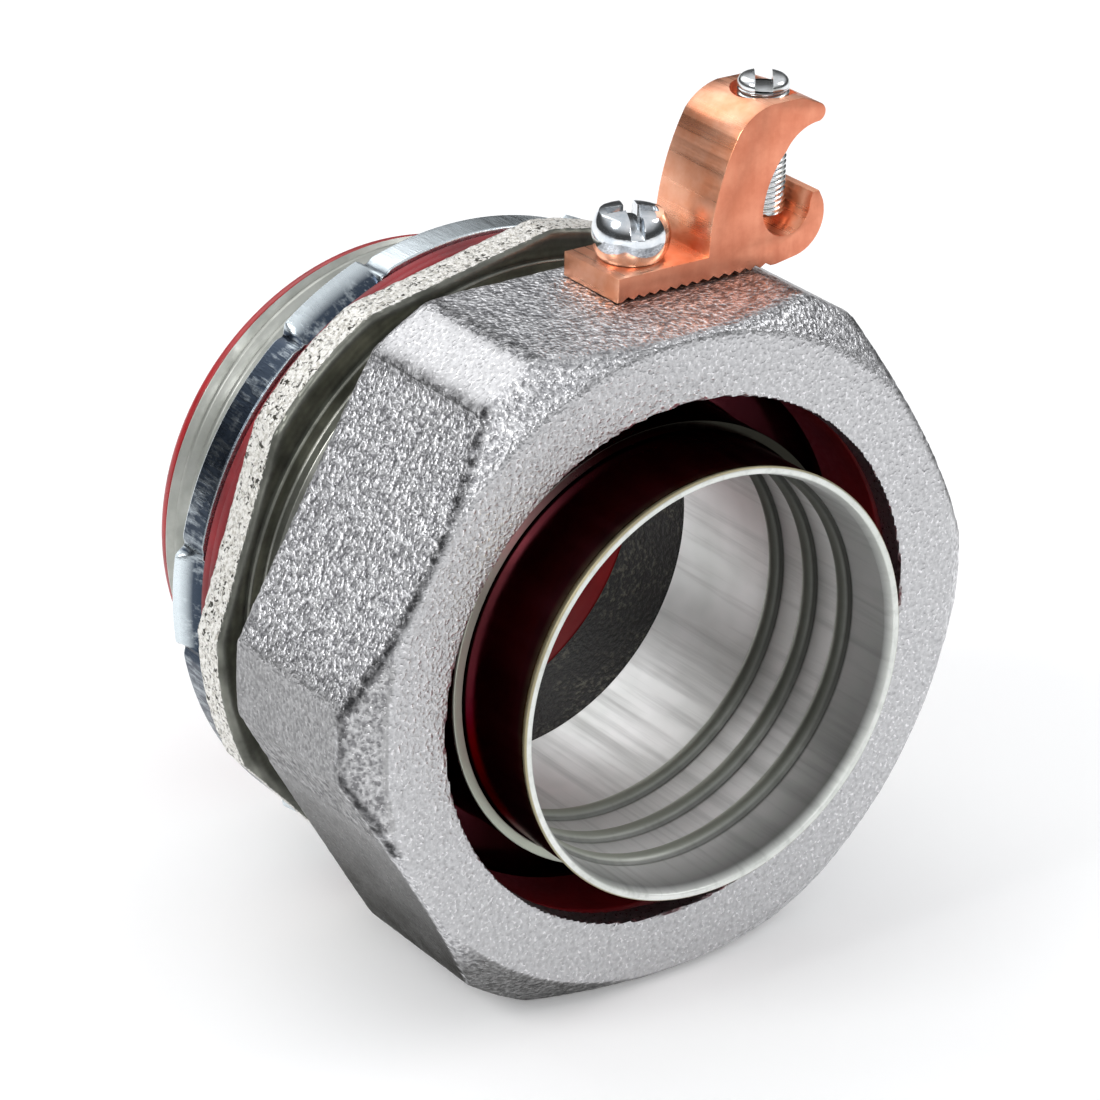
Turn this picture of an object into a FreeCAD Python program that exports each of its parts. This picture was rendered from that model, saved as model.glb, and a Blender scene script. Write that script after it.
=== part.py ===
import FreeCAD, Part
import math
import os

# Straight liquidtight conduit connector with a grounding lug, two inch trade size.
# Y runs along the conduit: the conduit enters at -Y and the box lies at +Y.
# The origin is on that axis, on the flange face that seats on the wall of the box.
# Z points up through the grounding lug. All sizes are in millimetres, turns in degrees.

# Conduit that the gland takes
conduit_d = 60.3

# Body: box thread, flange and gland spigot
box_thread_d = 60.3
box_thread_len = 20.75
thread_pitch = 2.21
thread_depth = 1.1
thread_crest = 0.45
thread_chamfer = 1.0
flange_sides = 6
flange_ledge = 6.7
flange_corner_reach = 1.9
flange_t = 5.25
flange_turn = 12.0
flange_round = 0.7
boss_reach = 1.6
boss_t = 0.7
throat_d = 47.6
spigot_len = 13.75
neck_len = 2.0

# Throat liner
liner_wall = 1.7
liner_step = 0.25
liner_depth = 15.1
liner_lip_inset = 0.5
liner_lip_t = 1.7
liner_lip_round = 0.6

# Gasket on the flange
gasket_wall = 6.45
gasket_t = 2.85
gasket_round = 0.7

# Locknut and its ears
locknut_wall = 6.1
locknut_t = 5.35
locknut_bevel = 1.5
ear_count = 6
ear_reach = 1.3
ear_arc = 19.0
ear_setback = 0.6
ear_turn = 59.5

# Gland nut
nut_sides = 6
nut_wall = 3.55
nut_corner_reach = 3.45
nut_len = 23.8
nut_gap = 6.7
nut_face_inset = 0.5
nut_face_round = 1.5
nut_crown = 3.1
nut_edge_round = 1.2
nut_back_bevel = 0.8
nut_bore_bevel = 0.6
nut_lip_t = 3.1
pocket_step = 0.8

# Ferrule, pressed from sheet
sheet_t = 0.9
grip_tube_d = 48.7
grip_tube_stop = 0.4
rim_reach = 22.25
rim_flare = 0.45
rim_flare_len = 1.2
fold_gap = 1.0
fold_lip_len = 11.35
fold_depth = 6.85
rib_count = 3
rib_pitch = 6.05
rib_width = 2.4
rib_height = 0.75
first_rib = 8.0

# Sealing ring, and how far the nut can still draw it up
ring_wall = 2.75
ring_bevel = 0.8
tighten_room = 2.5

# Grounding lug, measured from its free end and its underside
lug_len = 27.0
lug_width = 9.8
lug_height = 18.3
lug_front = 11.0
lug_offset = -1.5
pad_t = 2.7
pad_len = 11.8
arm_lean = 3.6
arm_bow = 0.85
shoulder_len = 4.2
shoulder_drop = 2.4
shoulder_bow = 0.45
tip_slope_len = 2.5
tip_drop = 1.05
tip_inset = 1.0
tip_t = 2.05
tip_bow = 0.8
mouth_len = 2.8
mouth_drop = 2.6
mouth_bow = 0.65
web_bow = 0.6
slot_floor = 3.1
slot_room = 0.35
jaw_wall = 1.8
jaw_height = 7.3
jaw_lead = 0.3
jaw_corner = 1.1
jaw_bow = 1.5
heel_len = 3.4
heel_rise = 0.45
toe_len = 6.1
tooth_count = 14
tooth_pitch = 1.4
tooth_depth = 0.4

# Screw that holds the lug on the nut
pad_screw_d = 4.8
pad_screw_inset = 5.1
pad_screw_tip_bevel = 0.6
pad_screw_head_d = 8.5
pad_screw_seat_d = 7.3
pad_screw_rim_h = 5.0
pad_screw_dome = 0.4
pad_screw_slot = 1.2
pad_screw_slot_depth = 1.5
pad_screw_cross = 5.2
pad_screw_turn = 64.0

# Screw that clamps the ground wire
clamp_screw_d = 5.6
clamp_screw_stand = 1.55
clamp_screw_bevel = 0.9
clamp_screw_lift = 1.2
clamp_screw_slot = 1.5
clamp_screw_slot_depth = 1.3
clamp_screw_turn = 54.0
clamp_recess = 0.8
clamp_recess_depth = 0.9

# Fits, and how far a cutting shape reaches past what it cuts
thread_gap = 0.25
slide_gap = 0.15
seat_gap = 0.05
locknut_gap = 0.15
ring_gap = 0.2
ring_bore_gap = 0.1
nut_bore_gap = 0.35
pad_screw_tip_gap = 0.35
spare = 1.0

# Radii that pieces share
box_thread_r = box_thread_d / 2
throat_r = throat_d / 2
tube_r = grip_tube_d / 2
tube_bore_r = tube_r - sheet_t
fold_lip_r = tube_r + fold_gap + sheet_t
liner_bore_r = throat_r + liner_step
liner_r = liner_bore_r + liner_wall
nut_bore_r = conduit_d / 2 + nut_bore_gap
ring_bore_r = conduit_d / 2 + ring_bore_gap
ring_r = ring_bore_r + ring_wall
pocket_r = ring_r + ring_gap
gland_thread_r = pocket_r + pocket_step
nut_thread_r = gland_thread_r + thread_gap
nut_flat_r = nut_thread_r + nut_wall
nut_corner_r = nut_flat_r + nut_corner_reach
pad_screw_r = pad_screw_d / 2
clamp_screw_r = clamp_screw_d / 2

# Places along the axis that pieces share
flange_front = -flange_t
spigot_front = flange_front - spigot_len
nut_back = flange_front - nut_gap
nut_front = nut_back - nut_len
lip_back = nut_front + nut_lip_t
ferrule_seat = spigot_front - seat_gap
ferrule_face = ferrule_seat - sheet_t
tube_end = flange_front + grip_tube_stop
ring_back = ferrule_face - tighten_room
pocket_back = spigot_front - tighten_room - ring_gap
liner_start = box_thread_len - liner_depth
locknut_front = gasket_t + locknut_gap
locknut_back = locknut_front + locknut_t

# Places on the nut's top flat and on the lug
pad_top = nut_flat_r + pad_t
arm_top = nut_flat_r + lug_height
lug_start = nut_front + lug_front
lug_y = lug_start + lug_width / 2
slot_right = lug_len - jaw_wall
slot_middle = slot_right - slot_room - clamp_screw_r
slot_left = slot_middle - slot_room - clamp_screw_r
pad_screw_x = lug_offset + pad_screw_inset
clamp_x = lug_offset + slot_middle

ORIGIN = FreeCAD.Vector(0, 0, 0)
AXIS = FreeCAD.Vector(0, 1, 0)
UP = FreeCAD.Vector(0, 0, 1)
SAME = 1e-6


def at(x, y, z=0.0):
    """Point from its coordinates; a flat section leaves the third one out."""
    return FreeCAD.Vector(x, y, z)


def around(radius, angle, y):
    """Point at a radius and an angle about the connector's axis; a quarter turn is the top."""
    return at(radius * math.cos(math.radians(angle)), y, radius * math.sin(math.radians(angle)))


def bowed(start, end, rise):
    """Arc step whose middle stands off the chord by the rise, to the left of the way along it."""
    along = (end - start).normalize()
    middle = (start + end) / 2
    return middle + at(-along.y, along.x) * rise, end


def rounded(corner, before, after):
    """Two steps that round a square corner: the point before it, then the arc to the point after it."""
    chord = before.distanceToPoint(after)
    middle = (before + after) / 2
    outward = (corner - middle).normalize()
    return [before, (middle + outward * chord * (math.sqrt(0.5) - 0.5), after)]


def face_of(path):
    """Face inside a closed path; a step given as (via, end) is an arc, any other a straight edge."""
    edges = []
    here = path[0]
    for step in path[1:] + [path[0]]:
        if isinstance(step, tuple):
            via, end = step
            edges.append(Part.Arc(here, via, end).toShape())
            here = end
        elif step.distanceToPoint(here) > SAME:
            edges.append(Part.LineSegment(here, step).toShape())
            here = step
    return Part.Face(Part.Wire(edges))


def turned(path):
    """Solid turned about the connector's axis from a section of (radius, y) points."""
    return face_of(path).revolve(ORIGIN, AXIS, 360)


def upright(shape, x):
    """Stands a shape that was made along Y upright, at x on the lug's centre line."""
    shape.rotate(ORIGIN, at(1, 0), 90)
    shape.translate(at(x, lug_y))
    return shape


def polygon_bar(sides, flat_r, start, end, turn):
    """Prism along the axis, with a flat at the top before it is turned about the axis."""
    corner_r = flat_r / math.cos(math.pi / sides)
    step = 360 / sides
    corners = [around(corner_r, 90 + turn + (i + 0.5) * step, start) for i in range(sides)]
    return face_of(corners).extrude(AXIS * (end - start))


def edges_at(shape, y):
    """Edges that lie in the plane at y."""
    return [e for e in shape.Edges if max(abs(e.BoundBox.YMin - y), abs(e.BoundBox.YMax - y)) < SAME]


def edges_along(shape, length):
    """Edges that run the given length along the axis."""
    return [e for e in shape.Edges if abs(e.BoundBox.YLength - length) < SAME]


def post(radius, bottom, top, x):
    """Upright cylinder on the lug's centre line."""
    return Part.makeCylinder(radius, top - bottom, at(x, lug_y, bottom), UP)


def driver_slot(length, width, depth, top, x, turn):
    """Box that cuts a driver slot into the top of a screw."""
    box = Part.makeBox(length, width, depth + spare, at(-length / 2, -width / 2, top - depth))
    box.rotate(ORIGIN, UP, turn)
    box.translate(at(x, lug_y))
    return box


def thread_rings(radius, start, end):
    """Section points of as many whole turns of thread as fit before the end, with each turn a ring groove."""
    half = (thread_pitch - thread_crest) / 2
    count = int((end - start) / thread_pitch)
    points = []
    for i in reversed(range(count)):
        root = end - (i + 0.5) * thread_pitch
        points.append(at(radius, root - half))
        points.append(at(radius - thread_depth, root))
        points.append(at(radius, root + half))
    return points


def make_body():
    boss_r = gland_thread_r + boss_reach
    boss_front = flange_front - boss_t
    inside_flange = flange_front / 2
    outside = turned([
        at(0, spigot_front),
        at(gland_thread_r - thread_chamfer, spigot_front),
        at(gland_thread_r, spigot_front + thread_chamfer),
        *thread_rings(gland_thread_r, spigot_front + thread_chamfer, flange_front - neck_len),
        at(gland_thread_r, boss_front),
        at(boss_r, boss_front),
        at(boss_r, inside_flange),
        at(box_thread_r, inside_flange),
        *thread_rings(box_thread_r, 0, box_thread_len - thread_chamfer),
        at(box_thread_r, box_thread_len - thread_chamfer),
        at(box_thread_r - thread_chamfer, box_thread_len),
        at(0, box_thread_len),
    ])
    flange_r = box_thread_r + flange_ledge
    flange = polygon_bar(flange_sides, flange_r, flange_front, 0, flange_turn)
    corners = Part.makeCylinder(flange_r + flange_corner_reach, flange_t, at(0, flange_front), AXIS)
    flange = flange.common(corners)
    flange = flange.makeFillet(flange_round, edges_at(flange, flange_front) + edges_at(flange, 0))
    tube_seat_r = tube_r + slide_gap
    liner_seat_r = liner_r + seat_gap
    throat_front = tube_end + slide_gap
    throat_back = liner_start - slide_gap
    passage = turned([
        at(0, spigot_front - spare),
        at(tube_seat_r, spigot_front - spare),
        at(tube_seat_r, throat_front),
        at(throat_r, throat_front),
        at(throat_r, throat_back),
        at(liner_seat_r, throat_back),
        at(liner_seat_r, box_thread_len + spare),
        at(0, box_thread_len + spare),
    ])
    return outside.fuse(flange).cut(passage).removeSplitter()


def make_throat_liner():
    seat = box_thread_len + seat_gap
    end = seat + liner_lip_t
    lip_r = box_thread_r - liner_lip_inset
    r = liner_lip_round
    return turned([
        at(liner_bore_r, liner_start),
        at(liner_r, liner_start),
        at(liner_r, seat),
        at(lip_r, seat),
        *rounded(at(lip_r, end), at(lip_r, end - r), at(lip_r - r, end)),
        *rounded(at(liner_bore_r, end), at(liner_bore_r + r, end), at(liner_bore_r, end - r)),
    ])


def make_sealing_gasket():
    bore_r = box_thread_r + slide_gap
    rim_r = bore_r + gasket_wall
    r = gasket_round
    return turned([
        at(bore_r, 0),
        *rounded(at(rim_r, 0), at(rim_r - r, 0), at(rim_r, r)),
        *rounded(at(rim_r, gasket_t), at(rim_r, gasket_t - r), at(rim_r - r, gasket_t)),
        at(bore_r, gasket_t),
    ])


def locknut_blank(radius, start):
    """Ring as wide as the locknut or its ears, bevelled at the back."""
    bore_r = box_thread_r + thread_gap
    return turned([
        at(bore_r, start),
        at(radius, start),
        at(radius, locknut_back - locknut_bevel),
        at(radius - locknut_bevel, locknut_back),
        at(bore_r, locknut_back),
    ])


def make_locknut():
    rim_r = box_thread_r + thread_gap + locknut_wall
    root_r = rim_r - locknut_bevel
    tip_r = rim_r + ear_reach
    ear_start = locknut_front + ear_setback
    lenses = []
    for i in range(ear_count):
        middle = ear_turn + i * 360 / ear_count
        first = middle - ear_arc / 2
        last = middle + ear_arc / 2
        lens = face_of([
            around(root_r, first, ear_start),
            around(rim_r, first, ear_start),
            (around(tip_r, middle, ear_start), around(rim_r, last, ear_start)),
            around(root_r, last, ear_start),
        ])
        lenses.append(lens.extrude(AXIS * (locknut_back - ear_start)))
    ears = locknut_blank(tip_r, ear_start).common(Part.makeCompound(lenses))
    return locknut_blank(rim_r, locknut_front).fuse(ears).removeSplitter()


def make_ferrule():
    rim = ferrule_face - rim_reach
    lip_edge = ferrule_face - fold_lip_len
    fold = lip_edge + fold_depth
    ribs = []
    for i in reversed(range(rib_count)):
        middle = rim + first_rib + i * rib_pitch
        ribs.append(at(tube_bore_r, middle + rib_width / 2))
        crest = at(tube_bore_r - rib_height, middle)
        ribs.append((crest, at(tube_bore_r, middle - rib_width / 2)))
    return turned([
        at(tube_bore_r + rim_flare, rim),
        at(tube_r + rim_flare, rim),
        at(tube_r, rim + rim_flare_len),
        at(tube_r, fold),
        at(fold_lip_r - sheet_t, fold),
        at(fold_lip_r - sheet_t, lip_edge),
        at(fold_lip_r, lip_edge),
        at(fold_lip_r, ferrule_face),
        at(ring_r, ferrule_face),
        at(ring_r, ferrule_seat),
        at(tube_r, ferrule_seat),
        at(tube_r, tube_end),
        at(tube_bore_r, tube_end),
        *ribs,
        at(tube_bore_r, rim + rim_flare_len),
    ])


def make_sealing_ring():
    front = lip_back + seat_gap
    b = ring_bevel
    return turned([
        at(ring_bore_r + b, front),
        at(ring_r, front),
        at(ring_r, ring_back),
        at(ring_bore_r + b, ring_back),
        at(ring_bore_r, ring_back - b),
        at(ring_bore_r, front + b),
    ])


def nut_crown_blank():
    """Round bar with a flat face and a cone that cuts the corners of the nut back and runs on past them."""
    face_r = nut_flat_r - nut_face_inset
    rise = nut_corner_r - face_r
    blank = turned([
        at(0, nut_front),
        at(face_r, nut_front),
        at(face_r + 2 * rise, nut_front + 2 * nut_crown),
        at(face_r + 2 * rise, nut_back),
        at(0, nut_back),
    ])
    return blank.makeFillet(nut_face_round, edges_at(blank, nut_front))


def make_gland_nut():
    nut = polygon_bar(nut_sides, nut_flat_r, nut_front, nut_back, 0)
    nut = nut.common(polygon_bar(nut_sides, nut_corner_r, nut_front, nut_back, 180 / nut_sides))
    nut = nut.makeFillet(nut_edge_round, edges_along(nut, nut_len))
    nut = nut.makeChamfer(nut_back_bevel, edges_at(nut, nut_back))
    mouth_r = nut_bore_r + nut_bore_bevel
    back_r = nut_thread_r + nut_back_bevel
    passage = turned([
        at(0, nut_front - spare),
        at(mouth_r, nut_front - spare),
        at(mouth_r, nut_front),
        at(nut_bore_r, nut_front + nut_bore_bevel),
        at(nut_bore_r, lip_back),
        at(pocket_r, lip_back),
        at(pocket_r, pocket_back),
        at(nut_thread_r, pocket_back + nut_thread_r - pocket_r),
        at(nut_thread_r, nut_back - nut_back_bevel),
        at(back_r, nut_back),
        at(back_r, nut_back + spare),
        at(0, nut_back + spare),
    ])
    screw_hole = post(pad_screw_r + seat_gap, 0, nut_flat_r + spare, pad_screw_x)
    return nut.common(nut_crown_blank()).cut(passage).cut(screw_hole).removeSplitter()


def lug_outline():
    """Side view of the lug from its free end, over the arm, round the wire slot and back along the teeth."""
    pad_end = at(pad_len, pad_t)
    shoulder = at(pad_len + arm_lean, lug_height - shoulder_drop)
    shoulder_end = at(shoulder.x + shoulder_len, lug_height)
    tip_top = at(lug_len - tip_inset, lug_height - tip_drop)
    tip_under = at(tip_top.x, tip_top.y - tip_t)
    mouth = at(slot_left + mouth_len, tip_under.y - mouth_drop)
    slot_r = slot_middle - slot_left
    slot_start = at(slot_left, slot_floor + slot_r)
    slot_end = at(slot_right, slot_floor + slot_r)
    jaw = at(lug_len, jaw_height - jaw_corner)
    heel = at(lug_len - heel_len, heel_rise)
    toe = at(lug_len - toe_len, 0)
    outline = [
        at(0, 0),
        at(0, pad_t),
        pad_end,
        bowed(pad_end, shoulder, arm_bow),
        bowed(shoulder, shoulder_end, shoulder_bow),
        at(tip_top.x - tip_slope_len, lug_height),
        tip_top,
        bowed(tip_top, tip_under, tip_bow),
        bowed(tip_under, mouth, -mouth_bow),
        bowed(mouth, slot_start, -web_bow),
        bowed(slot_start, slot_end, -slot_r),
        at(slot_right + jaw_lead, jaw_height),
        at(lug_len - jaw_corner / 2, jaw_height),
        jaw,
        bowed(jaw, heel, jaw_bow),
        toe,
    ]
    for i in reversed(range(tooth_count)):
        start = (toe.x - tooth_count * tooth_pitch) / 2 + i * tooth_pitch
        outline.append(at(start + tooth_pitch, 0))
        outline.append(at(start + tooth_pitch / 2, tooth_depth))
        outline.append(at(start, 0))
    return outline


def make_ground_lug():
    lug = face_of(lug_outline()).extrude(UP * lug_width)
    lug = upright(lug, lug_offset)
    lug.translate(at(0, lug_width / 2, nut_flat_r))
    pad_hole = post(pad_screw_r + slide_gap, nut_flat_r - spare, pad_top + spare, pad_screw_x)
    clamp_hole = post(clamp_screw_r + slide_gap, nut_flat_r + jaw_height, arm_top + spare, clamp_x)
    recess = post(clamp_screw_r + clamp_recess, arm_top - clamp_recess_depth, arm_top + spare, clamp_x)
    return lug.cut(pad_hole).cut(clamp_hole).cut(recess).removeSplitter()


def make_lug_screw():
    head_r = pad_screw_head_d / 2
    seat_r = pad_screw_seat_d / 2
    tip = nut_thread_r + pad_screw_tip_gap
    under = pad_top + seat_gap
    rim = under + pad_screw_rim_h
    top = rim + pad_screw_dome
    dome_r = (seat_r ** 2 + pad_screw_dome ** 2) / (2 * pad_screw_dome)
    dome_via = at(seat_r / 2, top - dome_r + math.sqrt(dome_r ** 2 - seat_r ** 2 / 4))
    screw = upright(turned([
        at(0, tip),
        at(pad_screw_r - pad_screw_tip_bevel, tip),
        at(pad_screw_r, tip + pad_screw_tip_bevel),
        at(pad_screw_r, under),
        at(seat_r, under),
        (at(head_r, (under + rim) / 2), at(seat_r, rim)),
        (dome_via, at(0, top)),
    ]), pad_screw_x)
    for length, turn in ((2 * head_r, pad_screw_turn), (pad_screw_cross, pad_screw_turn + 90)):
        screw = screw.cut(driver_slot(length, pad_screw_slot, pad_screw_slot_depth, top, pad_screw_x, turn))
    return screw


def make_clamp_screw():
    tip = nut_flat_r + slot_floor + clamp_screw_lift
    top = arm_top + clamp_screw_stand
    r = clamp_screw_r
    b = clamp_screw_bevel
    screw = upright(turned([
        at(0, tip),
        at(r - b, tip),
        at(r, tip + b),
        *rounded(at(r, top), at(r, top - b), at(r - b, top)),
        at(0, top),
    ]), clamp_x)
    slot = driver_slot(
        clamp_screw_d + spare, clamp_screw_slot, clamp_screw_slot_depth, top, clamp_x, clamp_screw_turn
    )
    return screw.cut(slot)


PIECES = {
    "body": make_body,
    "throat_liner": make_throat_liner,
    "sealing_gasket": make_sealing_gasket,
    "locknut": make_locknut,
    "ferrule": make_ferrule,
    "sealing_ring": make_sealing_ring,
    "gland_nut": make_gland_nut,
    "ground_lug": make_ground_lug,
    "lug_screw": make_lug_screw,
    "clamp_screw": make_clamp_screw,
}

os.makedirs("parts", exist_ok=True)
for name, make in PIECES.items():
    make().exportStep(os.path.join("parts", name + ".step"))
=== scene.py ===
"""Studio scene of a straight liquidtight conduit connector with a grounding lug.

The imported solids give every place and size. The pieces made here stand for them with turned,
cast, threaded and stamped surfaces, in metres and in the same frame: the conduit runs along Y
and enters at -Y, the box lies at +Y, and the grounding lug points up along Z. Sizes in the
classes are in millimetres and degrees.
"""

import logging
import math
from collections.abc import Callable
from dataclasses import dataclass
from enum import Enum
from typing import Self

import bpy
import numpy as np
from mathutils import Matrix, Vector


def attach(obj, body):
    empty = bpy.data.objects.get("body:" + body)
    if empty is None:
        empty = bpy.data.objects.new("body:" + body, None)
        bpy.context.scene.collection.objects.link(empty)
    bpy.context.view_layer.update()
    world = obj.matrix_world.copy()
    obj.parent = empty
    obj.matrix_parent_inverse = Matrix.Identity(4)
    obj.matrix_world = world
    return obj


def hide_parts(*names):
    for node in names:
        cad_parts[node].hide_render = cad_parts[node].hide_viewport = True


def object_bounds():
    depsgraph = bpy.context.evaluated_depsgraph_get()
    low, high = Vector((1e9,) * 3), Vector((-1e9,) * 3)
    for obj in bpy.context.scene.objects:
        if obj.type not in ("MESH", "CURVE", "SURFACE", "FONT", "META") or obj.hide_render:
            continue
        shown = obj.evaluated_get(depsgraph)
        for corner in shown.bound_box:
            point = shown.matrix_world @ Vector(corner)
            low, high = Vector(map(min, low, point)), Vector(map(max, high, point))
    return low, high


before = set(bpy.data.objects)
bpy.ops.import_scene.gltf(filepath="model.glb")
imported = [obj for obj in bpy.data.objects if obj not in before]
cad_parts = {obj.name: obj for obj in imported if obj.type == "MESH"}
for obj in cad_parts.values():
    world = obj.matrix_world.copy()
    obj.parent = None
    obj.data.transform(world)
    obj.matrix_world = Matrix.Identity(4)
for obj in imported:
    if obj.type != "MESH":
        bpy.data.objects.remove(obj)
CAD_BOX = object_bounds()

LOG = logging.getLogger("connector")
MM = 0.001
WELD = 1e-7
SMOOTH_BELOW = math.radians(32)
SHARP_ABOVE = math.radians(40)
HEX_TURN = math.radians(30)
WEIGHT_LEVELS = 10
GRAIN_LAYERS = 2
PAD_SCREW_X = 3.6
CLAMP_SCREW_X = 20.55
SCREWS_Y = -19.85

Corner = tuple[float, ...]
Point = tuple[float, float, float]
Colour = tuple[float, float, float]
Socket = bpy.types.NodeSocket
Material = bpy.types.Material

WHITE: Colour = (1.0, 1.0, 1.0)
ORIGIN: Point = (0.0, 0.0, 0.0)


class Axis(Enum):
    """Line that a piece is turned about: the conduit's, or a screw's."""

    CONDUIT = "Y"
    SCREW = "Z"

    def point(self, across: float, along: float) -> Point:
        """Point at a distance across the axis and a place along it."""
        return (across, along, 0.0) if self is Axis.CONDUIT else (across, 0.0, along)


class Cut(Enum):
    """What a tool does to a piece: takes its own shape out of it, or trims it to that shape."""

    OUT = "DIFFERENCE"
    TO_SHAPE = "INTERSECT"


class Pick(Enum):
    """What is selected of a piece that is opened for editing."""

    ALL = "SELECT"
    NONE = "DESELECT"


class Slope(Enum):
    """How a mapped value runs from one end of its range to the other."""

    STRAIGHT = "LINEAR"
    EASED = "SMOOTHSTEP"


def clear_bench() -> None:
    """Leaves edit mode and lets go of everything."""
    if bpy.context.object and bpy.context.object.mode != "OBJECT":
        bpy.ops.object.mode_set(mode="OBJECT")
    bpy.ops.object.select_all(action="DESELECT")


def ramp(value: np.ndarray, start: float, end: float) -> np.ndarray:
    """Share of the way from a start to an end, held at 0 and 1."""
    return np.clip((value - start) / (end - start), 0.0, 1.0)


def bell(*offsets: np.ndarray) -> np.ndarray:
    """Share that is 1 where every offset is 0 and falls off round it."""
    return np.exp(-sum(offset ** 2 for offset in offsets))


def facing(angle: np.ndarray, turn: float) -> np.ndarray:
    """Share that is 1 on the side at a turn and 0 on the opposite one."""
    return 0.5 + 0.5 * np.cos(np.radians(angle - turn))


def polar(places: np.ndarray) -> tuple[np.ndarray, np.ndarray]:
    """Distance from the conduit's axis, and degrees round it from +X towards +Z."""
    x, z = places[:, 0], places[:, 2]
    return np.hypot(x, z), np.degrees(np.arctan2(z, x)) % 360


def rounded(corners: list[Corner], steps: int = 5) -> list[Vector]:
    """Rounds the corners of a closed outline.

    Args:
        corners: radius, place along the axis and, for a round corner, its rounding.
        steps: facets of one rounding.

    Returns:
        The outline's points as (radius, place along the axis).
    """
    points = []
    for i, (radius, along, *rounding) in enumerate(corners):
        here = Vector((radius, along))
        if not rounding:
            points.append(here)
            continue
        back = (Vector(corners[i - 1][:2]) - here).normalized()
        ahead = (Vector(corners[(i + 1) % len(corners)][:2]) - here).normalized()
        half = back.angle(ahead) / 2
        middle = here + (back + ahead).normalized() * (rounding[0] / math.sin(half))
        first = here + back * (rounding[0] / math.tan(half)) - middle
        last = here + ahead * (rounding[0] / math.tan(half)) - middle
        for k in range(steps + 1):
            points.append(middle + first.lerp(last, k / steps).normalized() * rounding[0])
    return points


def bowed(start: Vector, end: Vector, rise: float, steps: int) -> list[Vector]:
    """Draws an arc.

    Args:
        start: where the arc starts.
        end: where it ends.
        rise: how far its middle stands off the chord, to the left of the way along it.
        steps: facets of the arc.

    Returns:
        The points after the start, with the end.
    """
    chord = end - start
    along = chord.normalized()
    left = Vector((-along.y, along.x))
    half = chord.length / 2
    sweep = 4 * math.atan(rise / half)
    radius = half / math.sin(sweep / 2)
    points = []
    for k in range(1, steps + 1):
        turn = sweep * (k / steps - 0.5)
        forward = half + radius * math.sin(turn)
        aside = radius * (math.cos(turn) - math.cos(sweep / 2))
        points.append(start + along * forward + left * aside)
    return points


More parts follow.
